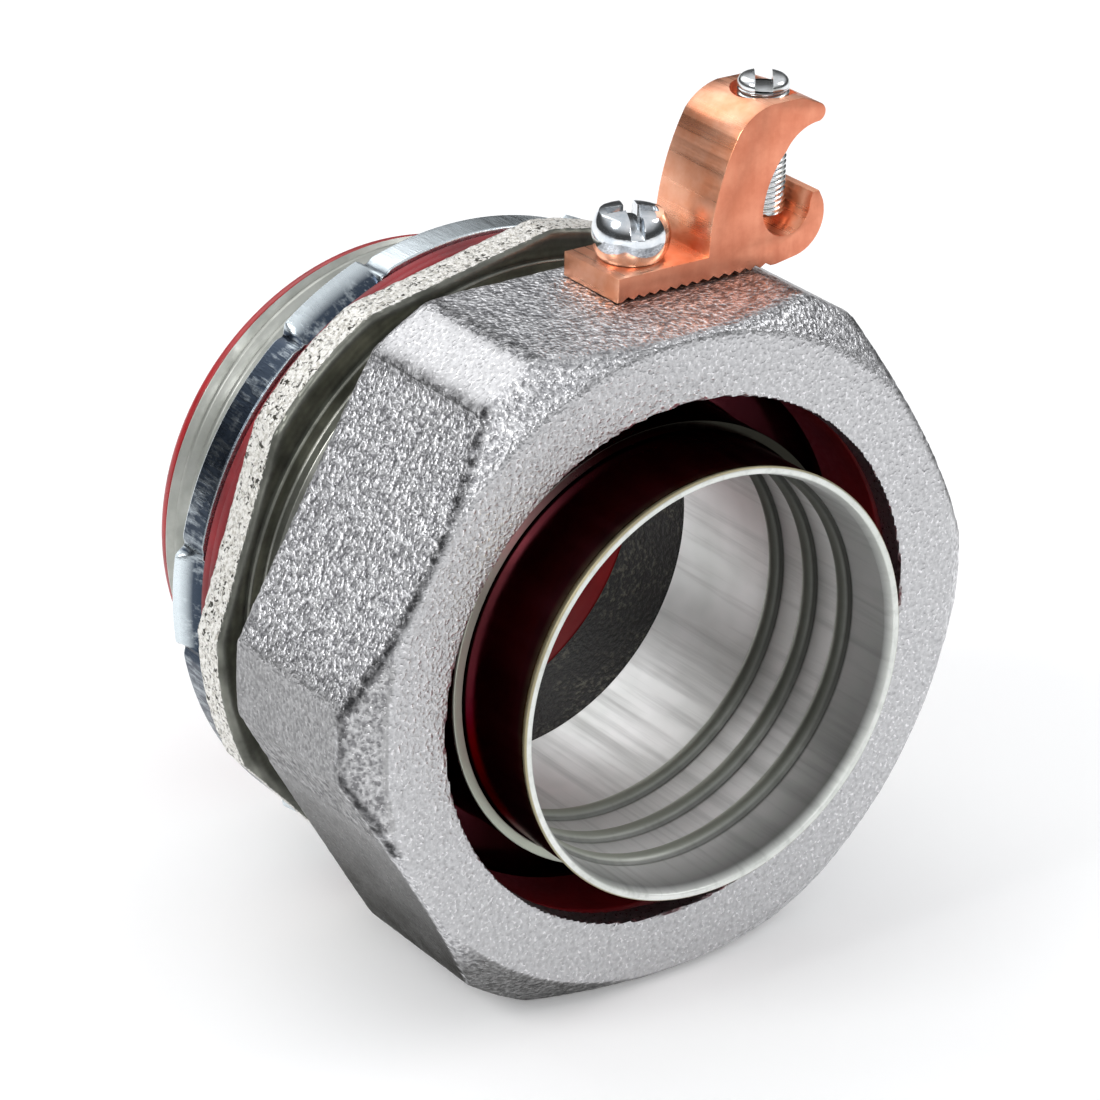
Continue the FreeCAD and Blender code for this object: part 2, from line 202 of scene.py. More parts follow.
class Workpiece:
    """Mesh on the bench, with the moves of the hand that shape it."""

    def __init__(self, name: str) -> None:
        """Takes up the mesh added last, and sets its place and turn into its vertices.

        Args:
            name: the piece's name.
        """
        self.thing = bpy.context.object
        self.thing.name = self.thing.data.name = name
        bpy.ops.object.transform_apply(location=True, rotation=True, scale=True)

    @property
    def mesh(self) -> bpy.types.Mesh:
        """The piece's mesh data."""
        return self.thing.data

    @classmethod
    def draw(cls, name: str, points: list[Point], closed: bool) -> Self:
        """Draws a line from vertex to vertex.

        Args:
            name: the new piece's name.
            points: the places that the line goes through, in metres.
            closed: whether the last point is joined to the first.

        Returns:
            A mesh of edges.
        """
        clear_bench()
        bpy.ops.mesh.primitive_plane_add(size=MM)
        piece = cls(name)
        piece.edit()
        bpy.ops.mesh.merge(type="CENTER")
        bpy.ops.transform.translate(value=points[0])
        for here, there in zip(points, points[1:]):
            step = Vector(there) - Vector(here)
            bpy.ops.mesh.extrude_vertices_move(TRANSFORM_OT_translate={"value": step})
        if closed:
            bpy.ops.object.mode_set(mode="OBJECT")
            piece.mesh.vertices[0].select = True
            bpy.ops.object.mode_set(mode="EDIT")
            bpy.ops.mesh.edge_face_add()
        clear_bench()
        return piece

    @classmethod
    def turn(cls, name: str, outline: list[Corner], steps: int = 160, axis: Axis = Axis.CONDUIT,
             place: Point = ORIGIN) -> Self:
        """Turns a closed outline into a solid, as a lathe does.

        Args:
            name: the new piece's name.
            outline: its corners, as rounded() takes them.
            steps: facets in a whole turn.
            axis: the line that it is turned about.
            place: a point of that line, in metres.

        Returns:
            A closed mesh with its faces outwards.
        """
        flat = [axis.point(*(p * MM)) for p in rounded(outline)]
        points = [tuple(a + b for a, b in zip(place, point)) for point in flat]
        piece = cls.draw(name, points, closed=True)
        piece.edit()
        bpy.ops.mesh.spin(steps=steps, angle=math.tau, center=place, axis=axis.point(0.0, 1.0))
        piece.close_up()
        return piece

    @classmethod
    def rod(cls, name: str, sides: int, radius: float, length: float, middle: Point,
            turn: Point = ORIGIN) -> Self:
        """Cuts a length of round or many-sided bar.

        Args:
            name: the new piece's name.
            sides: sides of its section.
            radius: radius of the section's corners.
            length: its length.
            middle: the place of its middle.
            turn: its turn from upright about each axis, in radians.

        Returns:
            A closed mesh.
        """
        clear_bench()
        bpy.ops.mesh.primitive_cylinder_add(vertices=sides, radius=radius * MM, depth=length * MM,
                                            location=[c * MM for c in middle], rotation=turn)
        return cls(name)

    @classmethod
    def thread(cls, name: str, crest: float, depth: float, pitch: float, span: tuple[float, float],
               core: float, steps: int, axis: Axis) -> Self:
        """Winds a thread as a closed sleeve.

        Args:
            name: the new piece's name.
            crest: radius of the thread's crests.
            depth: height of the crests over the roots.
            pitch: rise of one turn.
            span: where the thread starts and ends along its axis.
            core: radius of the sleeve's inside.
            steps: facets in a whole turn.
            axis: the line that it winds about, through the origin.

        Returns:
            A closed mesh about the axis.
        """
        low, high = span
        flat, ease = 0.2, 0.04
        rise = (1 - flat) / 2
        root, shoulder = crest - depth, crest - ease * depth
        marks = [(0.0, root), (ease, root), (rise - ease, shoulder), (rise, crest),
                 (rise + flat, crest), (rise + flat + ease, shoulder), (1 - ease, root),
                 (1.0, root)]
        # It winds a turn and a half past each end, and is cut off there.
        begin = low - 1.5 * pitch
        turns = math.ceil((high - low) / pitch) + 3
        points = [axis.point(radius * MM, (begin + share * pitch) * MM) for share, radius in marks]
        piece = cls.draw(name, points, closed=False)
        piece.modify("SCREW", axis=axis.value, angle=math.tau, screw_offset=pitch * MM,
                     iterations=turns, steps=steps, render_steps=steps, use_merge_vertices=False)
        line = Vector(axis.point(0.0, 1.0))
        piece.edit()
        bpy.ops.mesh.remove_doubles(threshold=WELD * 10)
        for place, sense in ((low, -1.0), (high, 1.0)):
            bpy.ops.mesh.select_all(action="SELECT")
            bpy.ops.mesh.bisect(plane_co=line * place * MM, plane_no=line * sense, clear_outer=True)
        bpy.ops.mesh.select_all(action="DESELECT")
        bpy.ops.mesh.select_mode(type="EDGE")
        bpy.ops.mesh.select_non_manifold()
        bpy.ops.mesh.extrude_edges_move()
        squeeze = [1.0 if c else core / root for c in line]
        bpy.ops.transform.resize(value=squeeze, center_override=ORIGIN)
        bpy.ops.mesh.bridge_edge_loops()
        piece.close_up()
        return piece

    def take(self) -> None:
        """Makes the piece the selected and active one."""
        clear_bench()
        self.thing.select_set(True)
        bpy.context.view_layer.objects.active = self.thing

    def edit(self, pick: Pick = Pick.ALL) -> None:
        """Opens the piece in edit mode.

        Args:
            pick: what is selected there.
        """
        self.take()
        bpy.ops.object.mode_set(mode="EDIT")
        bpy.ops.mesh.select_mode(type="VERT")
        bpy.ops.mesh.select_all(action=pick.value)

    def close_up(self) -> None:
        """Welds doubled vertices and turns the faces outwards."""
        self.edit()
        bpy.ops.mesh.remove_doubles(threshold=WELD * 10)
        bpy.ops.mesh.dissolve_degenerate(threshold=WELD)
        bpy.ops.mesh.select_all(action="SELECT")
        bpy.ops.mesh.normals_make_consistent(inside=False)
        clear_bench()

    def modify(self, kind: str, **settings: object) -> None:
        """Adds one modifier and applies it.

        Args:
            kind: the modifier's type.
            settings: its options by name.
        """
        self.take()
        bpy.ops.object.modifier_add(type=kind)
        modifier = self.thing.modifiers[-1]
        for name, value in settings.items():
            setattr(modifier, name, value)
        bpy.ops.object.modifier_apply(modifier=modifier.name)

    def combine(self, tool: Self, cut: Cut) -> None:
        """Cuts or trims the piece with another, which is used up."""
        self.modify("BOOLEAN", operation=cut.value, solver="EXACT", object=tool.thing)
        bpy.data.objects.remove(tool.thing)

    def remesh(self, voxel: float) -> None:
        """Lays an even dense mesh over the piece."""
        self.modify("REMESH", mode="VOXEL", voxel_size=voxel * MM)

    def bevel(self, width: float, segments: int = 2) -> None:
        """Rounds every sharp edge."""
        self.modify("BEVEL", width=width * MM, segments=segments, limit_method="ANGLE",
                    angle_limit=SHARP_ABOVE)

    def chamfer(self, offset: float, segments: int,
                wanted: Callable[[Vector, Vector], bool]) -> None:
        """Cuts back the edges that are wanted.

        Args:
            offset: how far they are cut back.
            segments: facets of the cut.
            wanted: test of the places of an edge's two ends, in metres.
        """
        self.edit(Pick.NONE)
        bpy.ops.mesh.select_mode(type="EDGE")
        bpy.ops.object.mode_set(mode="OBJECT")
        for edge in self.mesh.edges:
            edge.select = wanted(*(self.mesh.vertices[i].co for i in edge.vertices))
        bpy.ops.object.mode_set(mode="EDIT")
        bpy.ops.mesh.bevel(offset=offset * MM, segments=segments, affect="EDGES")
        clear_bench()

    def cut_slot(self, top: Point, length: float, width: float, depth: float, turn: float) -> None:
        """Cuts a driver slot into the top of a screw.

        Args:
            top: the middle of the screw's top.
            length: the slot's length.
            width: its width.
            depth: its depth.
            turn: its turn about the screw.
        """
        clear_bench()
        bpy.ops.mesh.primitive_cube_add(size=MM, location=[c * MM for c in top],
                                        rotation=(0.0, 0.0, math.radians(turn)),
                                        scale=(length, width, 2 * depth))
        self.combine(Workpiece("slot"), Cut.OUT)

    def read(self, name: str) -> np.ndarray:
        """Reads a vector of each vertex.

        Args:
            name: the vector's name, co or normal.

        Returns:
            One row for each vertex.
        """
        flat = np.zeros(len(self.mesh.vertices) * 3, np.float32)
        self.mesh.vertices.foreach_get(name, flat)
        return flat.reshape(-1, 3).astype(float)

    def places(self) -> np.ndarray:
        """Places of the vertices, in millimetres."""
        return self.read("co") / MM

    def put(self, places: np.ndarray) -> None:
        """Moves the vertices to places given in millimetres."""
        self.mesh.vertices.foreach_set("co", (places * MM).astype(np.float32).ravel())
        self.mesh.update()

    def mark(self, name: str, values: np.ndarray) -> None:
        """Keeps one number for each vertex, for a finish to read."""
        attribute = self.mesh.attributes.new(name, "FLOAT", "POINT")
        attribute.data.foreach_set("value", values.astype(np.float32))

    def paint(self, pick: Callable[[bpy.types.MeshPolygon, float], int]) -> None:
        """Gives each face the finish picked by a test of the face and its radius."""
        for face in self.mesh.polygons:
            face.material_index = pick(face, math.hypot(face.center.x, face.center.z) / MM)

    def weigh(self, share: np.ndarray) -> str:
        """Groups the vertices by a share, for a modifier to follow.

        Args:
            share: a number from 0 to 1 for each vertex.

        Returns:
            The group's name.
        """
        group = self.thing.vertex_groups.new(name="share")
        for step in range(1, WEIGHT_LEVELS + 1):
            level = step / WEIGHT_LEVELS
            chosen = np.nonzero(np.abs(share - level) <= 0.5 / WEIGHT_LEVELS)[0]
            group.add([int(i) for i in chosen], level, "REPLACE")
        return group.name

    def soften(self, share: np.ndarray, passes: int) -> None:
        """Wears the edges of a dense mesh down where a share says so."""
        self.modify("SMOOTH", factor=0.5, iterations=passes, vertex_group=self.weigh(share))
        self.thing.vertex_groups.clear()

    def roughen(self, grain: float, height: float, share: np.ndarray) -> None:
        """Sinks a cast skin into a dense mesh and marks how high each place ended.

        Args:
            grain: size of the grain.
            height: depth of the grain from its highest to its lowest.
            share: share of that depth at each vertex, from 0 to 1.
        """
        texture = bpy.data.textures.new(self.thing.name + "_grain", type="CLOUDS")
        texture.noise_scale = grain * MM
        texture.noise_depth = GRAIN_LAYERS
        texture.noise_basis = "ORIGINAL_PERLIN"
        before, normals = self.places(), self.read("normal")
        self.modify("DISPLACE", texture=texture, texture_coords="LOCAL", strength=height * MM,
                    mid_level=1.0, vertex_group=self.weigh(share))
        moved = ((self.places() - before) * normals).sum(axis=1)
        self.mark("relief", moved / height + 0.5 * (1 + share))
        self.thing.vertex_groups.clear()
        bpy.data.textures.remove(texture)

    def finish(self, body: str, node: str, slot: str, *finishes: Material) -> None:
        """Shades and dresses the piece, and lets it stand for a solid.

        Args:
            body: the moving body that it rides on.
            node: the solid that it stands for.
            slot: not used; it names the slot that its finish belongs to.
            finishes: its materials, in the order of its faces' indices.
        """
        self.take()
        bpy.ops.object.shade_smooth_by_angle(angle=SMOOTH_BELOW)
        piece = self.thing
        for finish in finishes:
            piece.data.materials.append(finish)
        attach(piece, body)
        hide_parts(node)
        faces = len(piece.data.polygons)
        LOG.info("%s stands for %s on %s, %d faces", piece.name, node, body, faces)


class Graph:
    """Node tree of a finish or of the room, built from socket to socket."""

    def __init__(self, owner: Material | bpy.types.World, shader: str) -> None:
        """Opens the tree.

        Args:
            owner: the new material or world.
            shader: the name of the shader that it comes with.
        """
        owner.use_nodes = True
        self.owner = owner
        self.nodes = owner.node_tree.nodes
        self.links = owner.node_tree.links
        self.shader = self.nodes[shader]
        self.space = self.nodes.new("ShaderNodeTexCoord").outputs

    def feed(self, socket: Socket, value: object) -> None:
        """Links a socket to another, or sets it.

        Args:
            socket: the input.
            value: an output, or the value, with three numbers for a colour.
        """
        if isinstance(value, Socket):
            self.links.new(value, socket)
        else:
            socket.default_value = (*value, 1.0) if socket.type == "RGBA" else value

    def add(self, kind: str, output: str | int, inputs: dict[str | int, object],
            **settings: str) -> Socket:
        """Adds a node.

        Args:
            kind: the node's type, after the word that all types start with.
            output: the name or number of the output that is wanted.
            inputs: what each input is fed, by its name or number.
            settings: the node's options.

        Returns:
            The output.
        """
        node = self.nodes.new("ShaderNode" + kind)
        for name, value in settings.items():
            setattr(node, name, value)
        for key, value in inputs.items():
            self.feed(node.inputs[key], value)
        return node.outputs[output]

    def set(self, **values: object) -> None:
        """Feeds inputs of the shader, named with _ for a space."""
        for name, value in values.items():
            self.feed(self.shader.inputs[name.replace("_", " ")], value)

    def noise(self, scale: float, detail: float = 2.0, roughness: float = 0.5,
              distortion: float = 0.0, stretch: Point | None = None) -> Socket:
        """Makes a cloudy pattern.

        Args:
            scale: its repeats in a metre.
            detail: how many finer layers it has.
            roughness: how strong they are.
            distortion: how far it is warped.
            stretch: factor on the repeats along each axis, if any.

        Returns:
            The pattern, about 0.5 in the middle.
        """
        at = self.space["Object"]
        if stretch:
            at = self.add("Mapping", "Vector", {"Vector": at, "Scale": stretch})
        return self.add("TexNoise", "Fac", {"Vector": at, "Scale": scale, "Detail": detail,
                                            "Roughness": roughness, "Distortion": distortion})

    def lathe_lines(self, pitch: float) -> Socket:
        """Makes rings about the conduit's axis.

        Args:
            pitch: the way from ring to ring.

        Returns:
            The pattern, from 0 to 1.
        """
        scale = math.tau / 20 / (pitch * MM)
        return self.add("TexWave", "Fac", {"Vector": self.space["Object"], "Scale": scale,
                                           "Distortion": 1.5, "Detail": 3.0},
                        wave_type="RINGS", rings_direction="Y")

    def attribute(self, name: str) -> Socket:
        """Number that the piece keeps for each vertex."""
        return self.add("Attribute", "Fac", {}, attribute_name=name)

    def remap(self, value: Socket, low: float, high: float, to_low: float = 0.0,
              to_high: float = 1.0, slope: Slope = Slope.STRAIGHT) -> Socket:
        """Maps a range of values to another, and holds its ends.

        Args:
            value: what is mapped.
            low: where the range starts.
            high: where it ends.
            to_low: what its start becomes.
            to_high: what its end becomes.
            slope: how the value runs between them.

        Returns:
            The mapped value.
        """
        return self.add("MapRange", "Result", {"Value": value, "From Min": low, "From Max": high,
                                               "To Min": to_low, "To Max": to_high},
                        interpolation_type=slope.value)

    def gloss(self, pattern: Socket, middle: float, more: float, less: float) -> Socket:
        """Roughness that falls from over its middle to under it as a pattern rises."""
        return self.remap(pattern, 0.3, 0.7, middle + more, middle - less)

    def times(self, first: object, second: object) -> Socket:
        """Product of two numbers."""
        return self.add("Math", "Value", {0: first, 1: second}, operation="MULTIPLY")

    def plus(self, first: object, second: object) -> Socket:
        """Sum of two numbers."""
        return self.add("Math", "Value", {0: first, 1: second}, operation="ADD")

    def blend(self, share: Socket, first: object, second: object) -> Socket:
        """Mix of two colours."""
        return self.add("Mix", 2, {0: share, 6: first, 7: second}, data_type="RGBA")

    def bump(self, height: Socket, depth: float, strength: float,
             over: Socket | None = None) -> Socket:
        """Makes a relief.

        Args:
            height: its pattern.
            depth: how deep it is.
            strength: share of it that shows.
            over: the normal of a relief that it lies over, if any.

        Returns:
            The normal.
        """
        under = {"Normal": over} if over else {}
        return self.add("Bump", "Normal", {"Strength": strength, "Distance": depth * MM,
                                           "Height": height} | under)


@dataclass(frozen=True)
class Finish:
    """Surface of a piece, from its colours to its relief."""

    name: str

    def material(self) -> Material:
        """Builds the finish.

        Returns:
            A new material.
        """
        g = Graph(bpy.data.materials.new(self.name), "Principled BSDF")
        self.dress(g)
        return g.owner

    def dress(self, g: Graph) -> None:
        """Wires the finish to the shader."""
        raise NotImplementedError


@dataclass(frozen=True)
class CastZinc(Finish):
    """Rough cast skin under bright zinc, with painted shade in the hollows and on the dull sides,
    painted highlights on the peaks, and dark lines along the marked edges.
    """

    name: str = "cast_zinc"
    # Painted highlight on the grain's peaks and beads, and painted shade in its hollows, whose
    # colour the pits share.
    peak_highlight: Colour = (0.90, 0.90, 0.915)
    hollow_shade_and_pit: Colour = (0.27, 0.27, 0.285)
    even: Colour = (0.53, 0.53, 0.54)
    # Colour of the painted shade on the nut's dull sides.
    dull: Colour = (0.10, 0.098, 0.092)
    dark_edge: Colour = (0.045, 0.045, 0.047)
    roughness: float = 0.36
    grain: float = 1850.0
    grain_depth: float = 0.33
    bead: float = 2600.0
    bead_depth: float = 0.13
    pit: float = 1150.0
    cloud: float = 300.0
    smear: float = 900.0

    def dress(self, g: Graph) -> None:
        """Wires the grain with painted shade in its hollows and painted highlights on its peaks and
        beads, and the pits, then the painted shade of the dull sides and the dark edge lines over
        them.

        Args:
            g: the material's node tree.
        """
        coarse = g.attribute("coarse")
        grain = g.noise(self.grain, detail=1.0)
        beads = g.noise(self.bead, detail=1.0)
        # The relief's hollows are painted in shade and its peaks in a highlight; the beads get the
        # highlight too.
        lie = g.plus(g.times(g.attribute("relief"), 0.4), g.times(grain, 0.6))
        grain_shading = g.blend(g.remap(lie, 0.40, 0.62), self.hollow_shade_and_pit, self.peak_highlight)
        colour = g.blend(g.remap(coarse, 0.2, 1.0, 0.06, 0.95), self.even, grain_shading)
        colour = g.blend(g.remap(beads, 0.60, 0.70, 0.0, 0.7), colour, self.peak_highlight)
        pits = g.remap(g.noise(self.pit), 0.27, 0.33, 0.5, 0.0)
        colour = g.blend(pits, colour, self.hollow_shade_and_pit)
        cloud = g.remap(g.noise(self.cloud, detail=3.0), 0.3, 0.7, -0.06, 0.06)
        # Painted shade on the dull sides, which darkens their reflections too.
        dull_shade = g.times(g.attribute("side_shade"), g.plus(cloud, 0.9))
        colour = g.blend(dull_shade, colour, self.dull)
        smear = g.remap(g.noise(self.smear, detail=3.0), 0.36, 0.58, 0.45, 1.0)
        # Dark lines painted along the marked edges, broken up by a smear.
        colour = g.blend(g.times(g.attribute("dark_edge"), smear), colour, self.dark_edge)
        height = g.times(grain, g.remap(coarse, 0.0, 1.0, 0.10, 1.0))
        g.set(Base_Color=colour, Metallic=1.0,
              Specular_Tint=g.blend(dull_shade, WHITE, self.dull),
              Roughness=g.gloss(beads, self.roughness, 0.1, 0.1),
              Normal=g.bump(beads, self.bead_depth, 0.8, g.bump(height, self.grain_depth, 1.0)))


@dataclass(frozen=True)
class PittedZinc(Finish):
    """Pale zinc on the flange's cast edge, with black pits."""

    name: str = "pitted_zinc"
    skin: Colour = (0.90, 0.885, 0.845)
    shade: Colour = (0.52, 0.50, 0.45)
    pit: Colour = (0.045, 0.042, 0.032)
    roughness: float = 0.45

    def dress(self, g: Graph) -> None:
        """Wires the clouded skin and the pits, which are fewer in patches.

        Args:
            g: the material's node tree.
        """
        cloud = g.noise(2200.0, detail=3.0, roughness=0.6)
        pits = g.noise(1900.0, distortion=0.8)
        colour = g.blend(g.remap(cloud, 0.36, 0.56), self.shade, self.skin)
        patches = g.remap(g.noise(300.0), 0.36, 0.5, 0.3, 1.0)
        holes = g.times(g.remap(pits, 0.37, 0.43, 1.0, 0.0), patches)
        g.set(Base_Color=g.blend(holes, colour, self.pit), Metallic=0.55,
              Roughness=g.gloss(cloud, self.roughness, 0.15, 0.1),
              Normal=g.bump(cloud, 0.12, 0.8, g.bump(pits, 0.3, 0.8)))


@dataclass(frozen=True)
class TurnedFace(Finish):
    """Olive chromate on a face cut on the lathe, with the tool's rings, painted darker as the shade
    between the nut and the flange.
    """

    name: str = "turned_face"
    bright: Colour = (0.235, 0.24, 0.21)
    dark: Colour = (0.05, 0.052, 0.044)
    roughness: float = 0.38
    ring_pitch: float = 0.85

    def dress(self, g: Graph) -> None:
        """Wires the rings and the stain.

        Args:
            g: the material's node tree.
        """
        rings = g.lathe_lines(self.ring_pitch)
        stain = g.noise(210.0, detail=4.0, roughness=0.6)
        share = g.times(g.remap(rings, 0.1, 0.9, 0.8, 1.0), g.remap(stain, 0.34, 0.66, 0.3, 1.0))
        g.set(Base_Color=g.blend(share, self.dark, self.bright), Metallic=1.0,
              Roughness=g.gloss(stain, self.roughness, 0.14, 0.06),
              Normal=g.bump(rings, 0.012, 0.4))


@dataclass(frozen=True)
class CutThread(Finish):
    """Cut steel thread with a dull chromate tint."""

    bright: Colour
    dull: Colour
    roughness: float = 0.26

    def dress(self, g: Graph) -> None:
        """Wires the stain and the scratches round the thread.

        Args:
            g: the material's node tree.
        """
        stain = g.noise(190.0, detail=4.0, roughness=0.6)
        scratches = g.noise(900.0, detail=3.0, stretch=(0.12, 1.0, 0.12))
        g.set(Base_Color=g.blend(g.remap(stain, 0.36, 0.64), self.dull, self.bright), Metallic=1.0,
              Roughness=g.gloss(stain, self.roughness, 0.14, 0.06),
              Normal=g.bump(scratches, 0.03, 0.5))


@dataclass(frozen=True)
class DarkBore(Finish):
    """Cast throat, left dark and rough."""

    name: str = "dark_bore"
    iron: Colour = (0.016, 0.016, 0.015)
    fleck: Colour = (0.10, 0.097, 0.075)
    roughness: float = 0.5

    def dress(self, g: Graph) -> None:
        """Wires the grain and its flecks, which are fewer in patches.

        Args:
            g: the material's node tree.
        """
        grain = g.noise(1700.0, detail=3.0, roughness=0.6)
        patches = g.remap(g.noise(150.0), 0.42, 0.62, 0.2, 1.0)
        flecks = g.times(g.remap(grain, 0.50, 0.66), patches)
        g.set(Base_Color=g.blend(flecks, self.iron, self.fleck), Metallic=0.5,
              Roughness=self.roughness, Normal=g.bump(grain, 0.3, 0.8))


@dataclass(frozen=True)
class DrawnSteel(Finish):
    """Zinc on pressed sheet: silver with draw lines inside, glossy outside painted with a dark red
    reflection, green on ribs, painted shade on their fronts.
    """

    name: str = "drawn_steel"
    bright: Colour = (0.94, 0.945, 0.94)
    tint: Colour = (0.76, 0.78, 0.76)
    drawn: Colour = (0.46, 0.47, 0.46)
    rib: Colour = (0.58, 0.61, 0.52)
    # Colour of the painted shade on the ribs' fronts and feet, the flare's end and the lip.
    painted_shade: Colour = (0.02, 0.02, 0.016)
    # Painted dark red reflection on the glossy outside and the lip, which also tints their
    # reflections.
    gloss_and_reflection: Colour = (0.20, 0.040, 0.058)
    edge: Colour = (0.60, 0.65, 0.55)
    # Painted golden-olive sheen on the outside of the flare by the rim.
    flare: Colour = (0.36, 0.32, 0.20)
    roughness: float = 0.38

    def dress(self, g: Graph) -> None:
        """Wires the draw lines, then each marked area's colour with its painted shade and
        reflection, and a gloss where the red reflection is painted.

        Args:
            g: the material's node tree.
        """
        lines = g.noise(620.0, detail=4.0, roughness=0.65, stretch=(1.0, 0.035, 1.0))
        bloom = g.noise(70.0, detail=3.0, roughness=0.55)
        colour = g.blend(g.remap(bloom, 0.38, 0.64), self.tint, self.bright)
        colour = g.blend(g.remap(lines, 0.30, 0.52, 0.5, 0.0), colour, self.drawn)
        # The sheet's own rib and edge tints go on here with the painted red reflection, the flare's
        # painted sheen and the painted shade.
        for mark, shade in (("rib", self.rib), ("gloss_and_reflection", self.gloss_and_reflection), ("flare", self.flare),
                            ("edge", self.edge), ("painted_shade", self.painted_shade)):
            colour = g.blend(g.attribute(mark), colour, shade)
        gloss_and_reflection = g.attribute("gloss_and_reflection")
        scored = g.times(lines, g.remap(gloss_and_reflection, 0.0, 1.0, 1.0, 0.1))
        g.set(Base_Color=colour, Metallic=g.remap(gloss_and_reflection, 0.0, 1.0, 0.6, 1.0),
              Specular_Tint=g.blend(gloss_and_reflection, WHITE, self.gloss_and_reflection),
              Roughness=g.plus(g.remap(gloss_and_reflection, 0.0, 1.0, 0.06, -0.18),
                               g.gloss(lines, self.roughness, 0.06, 0.06)),
              Normal=g.bump(scored, 0.03, 0.5))


@dataclass(frozen=True)
class StampedZinc(Finish):
    """Bluish zinc on stamped steel, with shear marks across its edge and painted shade on it."""

    name: str = "stamped_zinc"
    bright: Colour = (0.74, 0.815, 0.85)
    rim_shade: Colour = (0.04, 0.055, 0.08)
    roughness: float = 0.25

    def dress(self, g: Graph) -> None:
        """Wires the painted shade on the edge, broken up by the shear marks and a mottle, and the
        shear marks' relief.

        Args:
            g: the material's node tree.
        """
        shear = g.noise(1500.0, detail=4.0, roughness=0.7, stretch=(1.0, 0.16, 1.0))
        mottle = g.noise(260.0, detail=4.0, roughness=0.65)
        # worn here is the painted shade, broken up by the shear marks and the mottle.
        worn = g.times(g.attribute("shade_and_shear"), g.remap(g.plus(shear, mottle), 1.0, 1.35, 1.0, 0.4))
        g.set(Base_Color=g.blend(worn, self.bright, self.rim_shade), Metallic=1.0,
              Roughness=g.gloss(shear, self.roughness, 0.12, 0.08),
              Normal=g.bump(shear, 0.07, 0.7))


@dataclass(frozen=True)
class BrightZinc(Finish):
    """Bright zinc on a small screw."""

    name: str = "bright_zinc"
    bright: Colour = (0.84, 0.86, 0.88)
    tint: Colour = (0.64, 0.69, 0.74)
    roughness: float = 0.08

    def dress(self, g: Graph) -> None:
        """Wires the bloom and a fine grain.

        Args:
            g: the material's node tree.
        """
        bloom = g.noise(500.0, detail=3.0, roughness=0.6)
        g.set(Base_Color=g.blend(g.remap(bloom, 0.35, 0.62), self.tint, self.bright), Metallic=1.0,
              Roughness=g.gloss(bloom, self.roughness, 0.1, 0.03),
              Normal=g.bump(g.noise(1800.0), 0.012, 0.6))


@dataclass(frozen=True)
class Moulding(Finish):
    """Moulded red plastic or rubber with flow marks and scuffs."""

    colour: Colour
    shade: Colour
    roughness: float
    grain_depth: float = 0.03
    shine: float = 0.5

    def dress(self, g: Graph) -> None:
        """Wires the flow marks and the grain.

        Args:
            g: the material's node tree.
        """
        flow = g.noise(120.0, detail=3.0, roughness=0.55)
        grain = g.noise(1600.0, detail=3.0, roughness=0.6)
        g.set(Base_Color=g.blend(g.remap(flow, 0.35, 0.65), self.shade, self.colour), Metallic=0.0,
              Specular_IOR_Level=self.shine, Roughness=g.gloss(grain, self.roughness, 0.1, 0.06),
              Normal=g.bump(grain, self.grain_depth, 0.6))


@dataclass(frozen=True)
class Copper(Finish):
    """Copper of the lug: drawn along the bar on its sides, sawn matte on its ends."""

    bright: Colour
    shade: Colour
    roughness: float
    sawn: bool
    groove: Colour = (0.50, 0.18, 0.09)

    def dress(self, g: Graph) -> None:
        """Wires the bloom, and the saw's lines or the die's lines and grooves.

        Args:
            g: the material's node tree.
        """
        bloom = g.noise(330.0, detail=4.0, roughness=0.6)
        colour = g.blend(g.remap(bloom, 0.36, 0.66), self.shade, self.bright)
        if self.sawn:
            lines = g.noise(1300.0, detail=3.0, roughness=0.6, stretch=(1.0, 1.0, 0.14))
        else:
            lines = g.noise(1050.0, detail=3.0, roughness=0.6, stretch=(1.0, 0.02, 1.0))
            grooves = g.noise(1500.0, detail=1.0, stretch=(1.0, 0.004, 1.0))
            colour = g.blend(g.remap(grooves, 0.26, 0.32, 0.7, 0.0), colour, self.groove)
        g.set(Base_Color=colour, Metallic=0.9, Roughness=g.gloss(lines, self.roughness, 0.1, 0.08),
              Normal=g.bump(lines, 0.05 if self.sawn else 0.022, 0.6))


@dataclass(frozen=True)
class PaleFloor(Finish):
    """Pale floor that glows a little to the eye and in bright metal, and lights nothing."""

    name: str = "pale_floor"
    colour: Colour = (0.90, 0.90, 0.90)
    glow: float = 0.14

    def dress(self, g: Graph) -> None:
        """Wires the colour and the glow.

        Args:
            g: the material's node tree.
        """
        rays = g.nodes.new("ShaderNodeLightPath").outputs
        seen = rays["Is Camera Ray"]
        for ray in ("Is Glossy Ray", "Is Transmission Ray"):
            seen = g.add("Math", "Value", {0: seen, 1: rays[ray]}, operation="MAXIMUM")
        g.set(Base_Color=self.colour, Roughness=0.9, Specular_IOR_Level=0.0,
              Emission_Color=WHITE, Emission_Strength=g.times(seen, self.glow))


